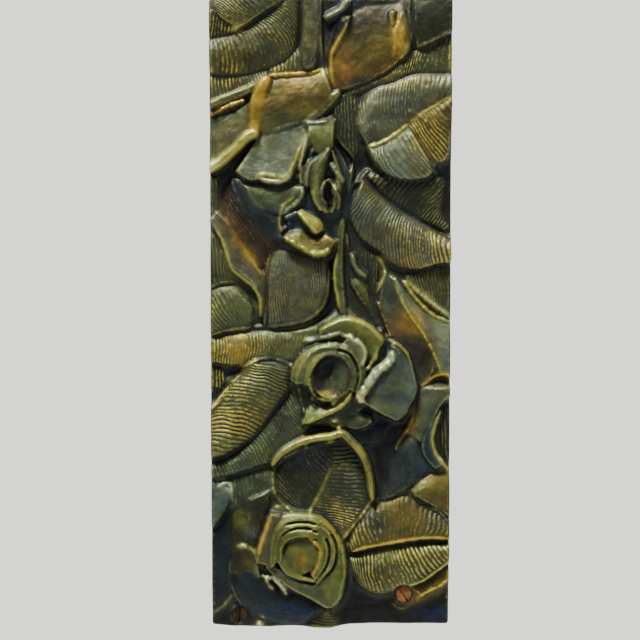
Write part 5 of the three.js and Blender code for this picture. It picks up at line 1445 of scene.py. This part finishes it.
def make_screw(screw):
    """A slotted countersunk screw with a worn head and a cut thread."""
    seat = -screw.seat
    profile = [
        (HEAD_RADIUS - 0.35, seat - 0.1),
        (HEAD_RADIUS - 0.08, seat),
        (HEAD_RADIUS, seat + 0.12),
        (HEAD_RADIUS, seat + HEAD_RIM),
        (SHANK_RADIUS, seat + HEAD_RIM + HEAD_RADIUS - SHANK_RADIUS),
        (SHANK_RADIUS, seat + PLAIN_SHANK),
        (THREAD_CORE, seat + PLAIN_SHANK + 0.7),
        (THREAD_CORE, seat + SCREW_LENGTH - SCREW_POINT),
        (0.12, seat + SCREW_LENGTH),
    ]
    piece = turned(screw.name, profile, (screw.x, screw.z), 40)
    thread = screw_thread(screw)
    finish_modifier(piece, "BOOLEAN", operation="UNION", object=thread, solver="EXACT")
    bpy.data.objects.remove(thread)
    slot = screw_slot(screw)
    finish_modifier(piece, "BOOLEAN", operation="DIFFERENCE", object=slot, solver="EXACT")
    bpy.data.objects.remove(slot)
    deselect_all()
    piece.select_set(True)
    bpy.context.view_layer.objects.active = piece
    bpy.ops.object.shade_smooth_by_angle(angle=math.radians(35))
    return piece


def screw_slot(screw):
    deselect_all()
    bpy.ops.mesh.primitive_cube_add(
        size=1,
        location=(screw.x * MM, -screw.seat * MM, screw.z * MM),
        rotation=(0, -math.radians(screw.slot_angle), 0),
        scale=(3 * HEAD_RADIUS * MM, 2 * SLOT_DEPTH * MM, SLOT_WIDTH * MM),
    )
    slot = bpy.context.object
    bpy.ops.object.transform_apply(location=True, rotation=True, scale=True)
    return slot


def screw_thread(screw):
    """The thread: a small wedge drawn round the shank in a helix, drawn in towards the point."""
    deselect_all()
    start = -screw.seat + PLAIN_SHANK + 0.4
    turns = (SCREW_LENGTH - PLAIN_SHANK - 1.2) / THREAD_PITCH
    steps = 20
    bpy.ops.mesh.primitive_circle_add(
        vertices=3,
        radius=0.42 * MM,
        fill_type="NGON",
        rotation=(0, 0, -math.pi / 2),
    )
    thread = bpy.context.object
    bpy.ops.object.transform_apply(location=False, rotation=True, scale=True)
    section = places_of(thread.data)
    count = int(turns * steps)
    bpy.ops.object.mode_set(mode="EDIT")
    bpy.ops.mesh.select_mode(type="FACE")
    bpy.ops.mesh.select_all(action="SELECT")
    for _ in range(count):
        bpy.ops.mesh.extrude_region_move(TRANSFORM_OT_translate={"value": (0, 0, MM)})
    bpy.ops.mesh.select_all(action="SELECT")
    bpy.ops.mesh.normals_make_consistent(inside=False)
    bpy.ops.object.mode_set(mode="OBJECT")
    place = places_of(thread.data)
    wound = np.empty_like(place)
    turn = 2 * np.pi * place[:, 2] / steps
    along = place[:, 2] / count
    drawn_in = np.clip((1 - along) / 0.2, 0.05, 1) * np.clip(along / 0.04, 0.2, 1)
    radius = np.where(drawn_in < 1, 0.3 + (THREAD_CORE - 0.45) * drawn_in, THREAD_CORE - 0.15)
    out = radius + place[:, 0] * np.minimum(1, drawn_in + 0.3)
    wound[:, 0] = screw.x + out * np.cos(turn)
    wound[:, 1] = start + THREAD_PITCH * place[:, 2] / steps + place[:, 1]
    wound[:, 2] = screw.z + out * np.sin(turn)
    thread.data.vertices.foreach_set("co", (wound * MM).ravel())
    thread.data.update()
    bpy.ops.object.mode_set(mode="EDIT")
    bpy.ops.mesh.select_all(action="SELECT")
    bpy.ops.mesh.normals_make_consistent(inside=False)
    bpy.ops.object.mode_set(mode="OBJECT")
    return thread


def blot(clay, place):
    """A soft oval place on the panel, from 0 to its strength."""
    turn = math.radians(place.turn)
    dx = clay.x[None, :] - place.x
    dz = clay.z[:, None] - place.z
    along = dx * math.cos(turn) + dz * math.sin(turn)
    across = dz * math.cos(turn) - dx * math.sin(turn)
    away = (along / place.across) ** 2 + (across / place.up) ** 2
    return place.strength * np.exp(-0.7 * away**1.5)


def screened(a, b):
    return 1 - (1 - a) * (1 - b)


def paint_fields(clay):
    """The patina's colour and masks over the front, from its shape and its named places, with painted shade in gaps
    and hollows and painted highlight on rims.
    """
    palette = np.array(list(TONES.values()))
    patina = palette[clay.tones]
    laid = 1 - clay.gap
    near = softened(laid, GAP_REACH, clay.cell)
    # In the gaps between forms the colour is half that of the forms around, fading to the near-black ground tone:
    # painted shade in the valleys
    for k in range(3):
        spread = softened(patina[..., k] * laid, GAP_REACH, clay.cell) / np.maximum(near, 1e-6)
        into_gap = np.clip(2.4 * near, 0, 1)
        spread = palette[0][k] + (0.5 * spread - palette[0][k]) * into_gap
        patina[..., k] = softened(np.where(laid > 0, patina[..., k], spread), 0.5, clay.cell)
    cloud = 0.6 * clay.noise(6.0, 41) + 0.4 * clay.noise(2.4, 42)
    fleck = 0.6 * clay.noise(1.4, 43) + 0.4 * clay.noise(0.6, 44)
    masks = {"gilt": np.zeros(clay.shape), "mottle": np.zeros(clay.shape)}
    for place in PLACES:
        cover = blot(clay, place)
        if place.kind in masks:
            masks[place.kind] = screened(masks[place.kind], cover)
            continue
        cover = np.clip(cover * (1 + 0.5 * cloud + 0.5 * fleck), 0, 1)[..., None]
        patina += (np.array(TONES[place.kind]) - patina) * cover
    warmth = (clay.noise(8.0, 45) + 0.5 * clay.noise(3.0, 46))[..., None] * np.array([0.16, 0.06, -0.16])
    patina *= np.clip(1 + 0.3 * cloud + 0.16 * fleck, 0.3, 2)[..., None] * (1 + warmth)
    near = softened(clay.height, 0.45, clay.cell)
    wide = softened(clay.height, 1.7, clay.cell)
    broad = softened(clay.height, 4.5, clay.cell)
    # Hollow mask: recesses, low ground and vein grooves, darkest where deepest: dark patina in the hollows and
    # painted shade where less light reaches
    hollow = 0.5 * np.clip((wide - clay.height) / 0.9, 0, 1)
    hollow = screened(hollow, 0.5 * np.clip((broad - clay.height - 0.8) / 2.6, 0, 1))
    groove = np.clip((near - clay.height) / 0.16, 0, 1)
    hollow = screened(hollow, 0.45 * groove)
    # Rim mask: convex rims and ribs, lightened as rubbed wear and as painted highlight
    rim = np.clip((clay.height - near) / 0.14, 0, 1) * (1 - hollow)
    rim = rim * np.clip(0.55 + (clay.height - wide) / 0.5, 0, 1)
    masks.update(hollow=hollow, rim=rim)
    return patina, masks


def store_fields(piece, clay, patina, masks):
    """Stores the fields on the casting's points, where its material reads them."""
    mesh = piece.data
    place = places_of(mesh)
    x, z = place[:, 0], place[:, 2]
    front = np.clip((-place[:, 1] - 0.6) / 1.2, 0, 1)
    bare = np.array(TONES["dark"])
    colour = np.ones((len(mesh.vertices), 4))
    for k in range(3):
        colour[:, k] = bare[k] + (read(clay, patina[..., k], x, z) - bare[k]) * front
    layer = mesh.attributes.new("patina", "FLOAT_COLOR", "POINT")
    layer.data.foreach_set("color", colour.ravel())
    for name, field in masks.items():
        layer = mesh.attributes.new(name, "FLOAT", "POINT")
        layer.data.foreach_set("value", read(clay, field, x, z) * front)


class Web:
    """Adds the nodes of one material or group and joins them."""

    def __init__(self, tree):
        self.tree = tree
        tree.nodes.clear()

    def add(self, kind, inputs=(), **settings):
        node = self.tree.nodes.new(kind)
        for name, value in settings.items():
            setattr(node, name, value)
        for name, value in dict(inputs).items():
            self.give(node.inputs[name], value)
        return node

    def give(self, socket, value):
        """Joins a socket to another, or sets its own value."""
        if isinstance(value, bpy.types.NodeSocket):
            self.tree.links.new(value, socket)
        else:
            socket.default_value = value

    def math(self, operation, a, b=0.0, clamp=False):
        node = self.add("ShaderNodeMath", {0: a, 1: b}, operation=operation, use_clamp=clamp)
        return node.outputs[0]

    def between(self, value, low, high, to_low=0.0, to_high=1.0):
        """The value's place between two limits, eased, from one number to another."""
        sockets = {"Value": value, 1: low, 2: high, 3: to_low, 4: to_high}
        node = self.add("ShaderNodeMapRange", sockets, interpolation_type="SMOOTHSTEP")
        return node.outputs["Result"]

    def mix(self, a, b, factor, blend="MIX"):
        node = self.add("ShaderNodeMix", data_type="RGBA", blend_type=blend, clamp_factor=True)
        self.give(node.inputs[0], factor)
        self.give(node.inputs[6], a)
        self.give(node.inputs[7], b)
        return node.outputs[2]

    def scaled(self, colour, factor):
        sockets = {0: colour, "Scale": factor}
        return self.add("ShaderNodeVectorMath", sockets, operation="SCALE").outputs[0]

    def noise(self, place, scale, detail=4.0, rough=0.55):
        sockets = {"Vector": place, "Scale": scale, "Detail": detail, "Roughness": rough}
        return self.add("ShaderNodeTexNoise", sockets).outputs["Fac"]

    def mask(self, name):
        return self.add("ShaderNodeAttribute", attribute_name=name).outputs["Fac"]


def new_group(name, ins, outs):
    group = bpy.data.node_groups.new(name, "ShaderNodeTree")
    for label, kind, value in ins:
        socket = group.interface.new_socket(label, in_out="INPUT", socket_type=kind)
        socket.default_value = value
    for label, kind in outs:
        group.interface.new_socket(label, in_out="OUTPUT", socket_type=kind)
    return group, Web(group)


def cast_grain_group():
    """The metal's grain: soft pits and a fine roughness, as a height and as a speckle."""
    ins = [("Size", "NodeSocketFloat", 1.0)]
    outs = [("Height", "NodeSocketFloat"), ("Speckle", "NodeSocketFloat"), ("Cloud", "NodeSocketFloat")]
    group, web = new_group("Cast grain", ins, outs)
    entry = web.add("NodeGroupInput")
    place = web.add("ShaderNodeTexCoord").outputs["Object"]
    scaled = web.add("ShaderNodeVectorMath", {0: place, "Scale": entry.outputs["Size"]}, operation="SCALE")
    spot = scaled.outputs[0]
    fine = web.noise(spot, 2400, 3, 0.6)
    medium = web.noise(spot, 700, 4, 0.6)
    cloud = web.noise(spot, 130, 5, 0.6)
    cells = {"Vector": spot, "Scale": 900.0, "Randomness": 1.0}
    pits = web.add("ShaderNodeTexVoronoi", cells, feature="F1").outputs["Distance"]
    pit = web.between(pits, 0.05, 0.32)
    height = web.math("ADD", web.math("MULTIPLY", fine, 0.35), web.math("MULTIPLY", medium, 0.8))
    height = web.math("ADD", height, web.math("MULTIPLY", pit, 0.25))
    leave = web.add("NodeGroupOutput")
    web.give(leave.inputs["Height"], height)
    web.give(leave.inputs["Speckle"], web.between(medium, 0.32, 0.68))
    web.give(leave.inputs["Cloud"], web.between(cloud, 0.3, 0.7))
    return group


def rub_group():
    """Where rims are lightened: rubbed wear, which on the casting also serves as painted highlight, broken up by a
    speckle.
    """
    ins = [
        ("Rim", "NodeSocketFloat", 0.0),
        ("Speckle", "NodeSocketFloat", 0.5),
        ("Amount", "NodeSocketFloat", 1.0),
    ]
    group, web = new_group("Rubbed rims", ins, [("Mask", "NodeSocketFloat")])
    entry = web.add("NodeGroupInput")
    broken = web.math("ADD", entry.outputs["Rim"], web.math("MULTIPLY", entry.outputs["Speckle"], 0.5))
    mask = web.between(broken, 0.55, 1.3)
    leave = web.add("NodeGroupOutput")
    web.give(leave.inputs["Mask"], web.math("MULTIPLY", mask, entry.outputs["Amount"], clamp=True))
    return group


def use_group(web, group, inputs=()):
    node = web.add("ShaderNodeGroup", node_tree=group)
    for name, value in dict(inputs).items():
        web.give(node.inputs[name], value)
    return node


def patinated_bronze(groups, looks):
    """Dark waxed bronze: patina tones, hollows blackened by dark patina and painted shade, rims lightened by
    rubbing and painted highlight, gold, rust and dust.
    """
    material = bpy.data.materials.new("patinated_bronze")
    material.use_nodes = True
    web = Web(material.node_tree)
    patina = web.add("ShaderNodeAttribute", attribute_name="patina").outputs["Color"]
    grain = use_group(web, groups["grain"])
    speckle, cloud = grain.outputs["Speckle"], grain.outputs["Cloud"]
    shade = web.between(cloud, 0.0, 1.0, 0.72, 1.2)
    colour = web.scaled(patina, shade)
    mottle = web.math("MULTIPLY", web.mask("mottle"), web.between(speckle, 0.25, 0.8), clamp=True)
    colour = web.mix(colour, web.scaled(patina, 0.35), web.math("MULTIPLY", mottle, 0.75))
    hollow = web.mask("hollow")
    # Hollows go towards the recess colour: dark patina and painted shade
    colour = web.mix(colour, (*looks.recess_shade_and_patina_colour, 1), web.between(hollow, 0.1, 0.85, 0.0, 0.92))
    rubbed = use_group(web, groups["rub"], {"Rim": web.mask("rim"), "Speckle": speckle}).outputs[0]
    gilt = web.mask("gilt")
    # Rubbed rims become a brighter copy of the patina mixed with the rim colour, or gold: worn metal and painted
    # highlight
    bare = web.mix(web.scaled(patina, 2.0), (*looks.rim_wear_and_highlight_colour, 1), 0.35)
    bare = web.mix(bare, (*looks.gold_colour, 1), gilt)
    colour = web.mix(colour, bare, web.math("MULTIPLY", rubbed, web.between(gilt, 0, 1, 0.55, 0.9)))
    metal = web.between(hollow, 0.1, 0.9, looks.metallic, 0.2)
    rough = web.between(speckle, 0, 1, looks.roughness - 0.06, looks.roughness + 0.08)
    rough = web.math("SUBTRACT", rough, web.math("MULTIPLY", rubbed, 0.08))
    bump = web.add("ShaderNodeBump", {"Height": grain.outputs["Height"], "Strength": 0.35,
                                      "Distance": 0.00025})
    shader = web.add("ShaderNodeBsdfPrincipled")
    web.give(shader.inputs["Base Color"], colour)
    web.give(shader.inputs["Metallic"], metal)
    web.give(shader.inputs["Roughness"], rough)
    web.give(shader.inputs["Normal"], bump.outputs["Normal"])
    web.give(web.add("ShaderNodeOutputMaterial").inputs["Surface"], shader.outputs["BSDF"])
    return material


def screw_metal(name, groups, bright, dark):
    """A screw's metal: rubbed bright on high spots, darkened in patches."""
    material = bpy.data.materials.new(name)
    material.use_nodes = True
    web = Web(material.node_tree)
    grain = use_group(web, groups["grain"], {"Size": 1.6})
    colour = web.mix((*dark, 1), (*bright, 1), web.between(grain.outputs["Cloud"], 0.2, 0.8, 0.25, 1.0))
    edge = web.add("ShaderNodeNewGeometry").outputs["Pointiness"]
    rubbed = use_group(web, groups["rub"], {
        "Rim": web.between(edge, 0.52, 0.6), "Speckle": grain.outputs["Speckle"], "Amount": 0.6})
    colour = web.mix(colour, (*bright, 1), rubbed.outputs[0])
    bump = web.add("ShaderNodeBump", {"Height": grain.outputs["Height"], "Strength": 0.3,
                                      "Distance": 0.0002})
    shader = web.add("ShaderNodeBsdfPrincipled")
    web.give(shader.inputs["Base Color"], colour)
    shader.inputs["Metallic"].default_value = 0.8
    web.give(shader.inputs["Roughness"], web.between(grain.outputs["Speckle"], 0, 1, 0.35, 0.55))
    web.give(shader.inputs["Normal"], bump.outputs["Normal"])
    web.give(web.add("ShaderNodeOutputMaterial").inputs["Surface"], shader.outputs["BSDF"])
    return material


def plain_paint(name, colour):
    material = bpy.data.materials.new(name)
    material.use_nodes = True
    shader = material.node_tree.nodes["Principled BSDF"]
    shader.inputs["Base Color"].default_value = (*colour, 1)
    shader.inputs["Roughness"].default_value = 0.9
    return material


def make_stage(stage):
    """A plain pale floor that sweeps up into a backdrop, far behind the panel."""
    deselect_all()
    bpy.ops.mesh.primitive_plane_add(size=1, location=(0, 0, 0))
    floor = bpy.context.object
    floor.name = floor.data.name = "studio_floor"
    width, near, far, drop, tall = 12.0, -4.0, 3.6, stage.floor_drop, 6.0
    corners = [(-width, near), (width, near), (-width, far), (width, far)]
    for vertex, (x, y) in zip(floor.data.vertices, corners):
        vertex.co = (x, y, -drop)
    bpy.ops.object.mode_set(mode="EDIT")
    bpy.ops.mesh.select_mode(type="EDGE")
    bpy.ops.mesh.select_all(action="DESELECT")
    bpy.ops.object.mode_set(mode="OBJECT")
    for edge in floor.data.edges:
        edge.select = all(floor.data.vertices[v].co.y > 0 for v in edge.vertices)
    bpy.ops.object.mode_set(mode="EDIT")
    bpy.ops.mesh.extrude_region_move(TRANSFORM_OT_translate={"value": (0, 0, tall)})
    bpy.ops.object.mode_set(mode="OBJECT")
    finish_modifier(floor, "BEVEL", width=1.6, segments=24, limit_method="ANGLE")
    bpy.ops.object.shade_smooth()
    floor.data.materials.append(plain_paint("pale_floor", stage.floor_colour))


def add_area_light(name, place, towards, size, watts, colour=(1, 1, 1)):
    light = bpy.data.lights.new(name, "AREA")
    light.shape = "DISK"
    light.size = size
    light.energy = watts
    light.color = colour
    lamp = bpy.data.objects.new(name, light)
    bpy.context.collection.objects.link(lamp)
    lamp.location = place
    lamp.rotation_euler = (Vector(towards) - Vector(place)).to_track_quat("-Z", "Y").to_euler()


def add_camera(stage):
    """A long lens in front of the panel, a little above its middle."""
    data = bpy.data.cameras.new("camera")
    data.lens = stage.lens
    data.sensor_width = 36
    camera = bpy.data.objects.new("camera", data)
    bpy.context.collection.objects.link(camera)
    target = Vector((stage.aim_x, 0, stage.aim_z))
    back = Vector((0, -math.cos(stage.camera_rise), math.sin(stage.camera_rise)))
    camera.location = target + back * stage.camera_distance
    camera.rotation_euler = (-back).to_track_quat("-Z", "Y").to_euler()
    bpy.context.scene.camera = camera


class CastingSizes(bpy.types.PropertyGroup):
    plate_thickness: FloatProperty(
        name="Plate thickness", description="Thickness of the casting where nothing stands on it",
        default=3.5 * MM, min=0.0, unit="LENGTH", precision=4,
    )
    softness: FloatProperty(
        name="Softness", description="How far the wax model's edges are rounded",
        default=0.36 * MM, min=0.0, unit="LENGTH", precision=5,
    )
    vein_depth: FloatProperty(
        name="Vein depth", description="How deep the leaves' veins are cut, 1 as on the real panel",
        default=1.0, min=0.0, max=3.0,
    )
    mesh_step: FloatProperty(
        name="Mesh step", description="Spacing of the points that the front is raised from",
        default=0.3 * MM, min=0.0001, unit="LENGTH", precision=5,
    )


class PatinaColours(bpy.types.PropertyGroup):
    # Colour of the hollows and grooves: dark patina and painted shade
    recess_shade_and_patina_colour: FloatVectorProperty(
        name="Recess", description="Blackened metal in the hollows and grooves",
        subtype="COLOR", size=3, min=0, max=1, default=(0.006, 0.009, 0.012),
    )
    gold_colour: FloatVectorProperty(
        name="Gold", description="Bright metal where the patina is rubbed through",
        subtype="COLOR", size=3, min=0, max=1, default=(0.62, 0.5, 0.06),
    )
    # Colour of rubbed rims: worn metal and painted highlight
    rim_wear_and_highlight_colour: FloatVectorProperty(
        name="Rubbed rim", description="Rims that hands have rubbed",
        subtype="COLOR", size=3, min=0, max=1, default=(0.36, 0.4, 0.12),
    )
    metallic: FloatProperty(
        name="Metallic", description="How metallic the patina looks outside its hollows",
        default=0.55, min=0, max=1,
    )
    roughness: FloatProperty(
        name="Roughness", description="How dull the patina is",
        default=0.5, min=0, max=1,
    )


class StageSettings(bpy.types.PropertyGroup):
    floor_drop: FloatProperty(
        name="Floor drop", description="How far the floor lies below the panel's middle",
        default=0.75, unit="LENGTH",
    )
    floor_colour: FloatVectorProperty(
        name="Floor colour", description="Colour of the floor and backdrop",
        subtype="COLOR", size=3, min=0, max=1, default=(0.78, 0.77, 0.74),
    )
    camera_distance: FloatProperty(
        name="Camera distance", description="From the camera to the middle of the panel's back",
        default=0.8, unit="LENGTH",
    )
    camera_rise: FloatProperty(
        name="Camera rise", description="How far the camera looks down",
        default=math.radians(5), subtype="ANGLE",
    )
    aim_x: FloatProperty(
        name="Aim across", description="Where the camera looks, across the panel",
        default=-0.0046, unit="LENGTH", precision=4,
    )
    aim_z: FloatProperty(
        name="Aim up", description="Where the camera looks, up the panel",
        default=-0.0016, unit="LENGTH", precision=4,
    )
    lens: FloatProperty(
        name="Lens", description="Focal length in millimetres on a 36 mm sensor",
        default=102.0,
    )
    key_watts: FloatProperty(
        name="Key light", description="Power of the soft light above the panel, in watts",
        default=42.0,
    )
    fill_watts: FloatProperty(
        name="Fill light", description="Power of the weak light from the right, in watts",
        default=4.0,
    )
    world_strength: FloatProperty(
        name="Surroundings", description="Brightness of the pale room around the panel",
        default=0.22,
    )


def own(piece, slot, *nodes):
    """Makes a piece part of the object, in place of CAD nodes."""
    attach(piece, "root")
    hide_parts(*nodes)


def shared_groups():
    """The node groups that several materials use, built once."""
    if "Cast grain" not in bpy.data.node_groups:
        cast_grain_group()
        rub_group()
    return {"grain": bpy.data.node_groups["Cast grain"], "rub": bpy.data.node_groups["Rubbed rims"]}


class RELIEF_OT_casting(bpy.types.Operator):
    """Make the cast panel with its carved front and patina"""

    bl_idname = "relief.casting"
    bl_label = "Casting"

    def execute(self, context):
        sizes = context.scene.relief_casting
        clay = shape_front(sizes)
        piece = make_casting(clay, sizes)
        patina, masks = paint_fields(clay)
        store_fields(piece, clay, patina, masks)
        piece.data.materials.append(patinated_bronze(shared_groups(), context.scene.relief_patina))
        own(piece, "patinated_bronze", "relief_panel")
        return {"FINISHED"}


class RELIEF_OT_screws(bpy.types.Operator):
    """Make the slotted screws that hold the panel"""

    bl_idname = "relief.screws"
    bl_label = "Screws"

    def execute(self, context):
        for screw in SCREWS:
            piece = make_screw(screw)
            piece.data.materials.clear()
            metal = screw_metal(screw.slot, shared_groups(), screw.bright, screw.dark)
            piece.data.materials.append(metal)
            own(piece, screw.slot, screw.node)
        return {"FINISHED"}


class RELIEF_OT_stage(bpy.types.Operator):
    """Make the floor, the lights and the camera"""

    bl_idname = "relief.stage"
    bl_label = "Stage"

    def execute(self, context):
        stage = context.scene.relief_stage
        make_stage(stage)
        add_area_light("key", (-0.3, -0.42, 1.15), (0, 0, 0), 0.35, stage.key_watts, (1.0, 1.0, 0.9))
        add_area_light("fill", (1.1, -1.2, 0.2), (0, 0, 0), 1.0, stage.fill_watts, (0.93, 0.96, 1.0))
        add_area_light("backdrop_left", (-2.2, 1.4, 1.8), (-0.6, 3.4, 0), 2.0, 120)
        add_area_light("backdrop_right", (2.2, 1.4, 1.8), (0.6, 3.4, 0), 2.0, 120)
        world = bpy.data.worlds.new("pale_room")
        world.use_nodes = True
        background = world.node_tree.nodes["Background"]
        background.inputs["Color"].default_value = (0.9, 0.92, 0.95, 1)
        background.inputs["Strength"].default_value = stage.world_strength
        context.scene.world = world
        add_camera(stage)
        return {"FINISHED"}


class RELIEF_PT_panel(bpy.types.Panel):
    """The relief panel's sizes, colours and pieces"""

    bl_idname = "RELIEF_PT_panel"
    bl_label = "Rose relief panel"
    bl_space_type = "VIEW_3D"
    bl_region_type = "UI"
    bl_category = "Relief"

    def draw(self, context):
        column = self.layout.column()
        for group in (context.scene.relief_casting, context.scene.relief_patina,
                      context.scene.relief_stage):
            for name in group.__annotations__:
                column.prop(group, name)
        for operator in OPERATORS:
            column.operator(operator.bl_idname)


OPERATORS = (RELIEF_OT_casting, RELIEF_OT_screws, RELIEF_OT_stage)
CLASSES = (CastingSizes, PatinaColours, StageSettings, *OPERATORS, RELIEF_PT_panel)


def register():
    for cls in CLASSES:
        bpy.utils.register_class(cls)
    bpy.types.Scene.relief_casting = PointerProperty(type=CastingSizes)
    bpy.types.Scene.relief_patina = PointerProperty(type=PatinaColours)
    bpy.types.Scene.relief_stage = PointerProperty(type=StageSettings)


def unregister():
    del bpy.types.Scene.relief_stage
    del bpy.types.Scene.relief_patina
    del bpy.types.Scene.relief_casting
    for cls in reversed(CLASSES):
        bpy.utils.unregister_class(cls)


def main():
    register()
    bpy.ops.relief.casting()
    bpy.ops.relief.screws()
    bpy.ops.relief.stage()


if __name__ == "__main__":
    main()
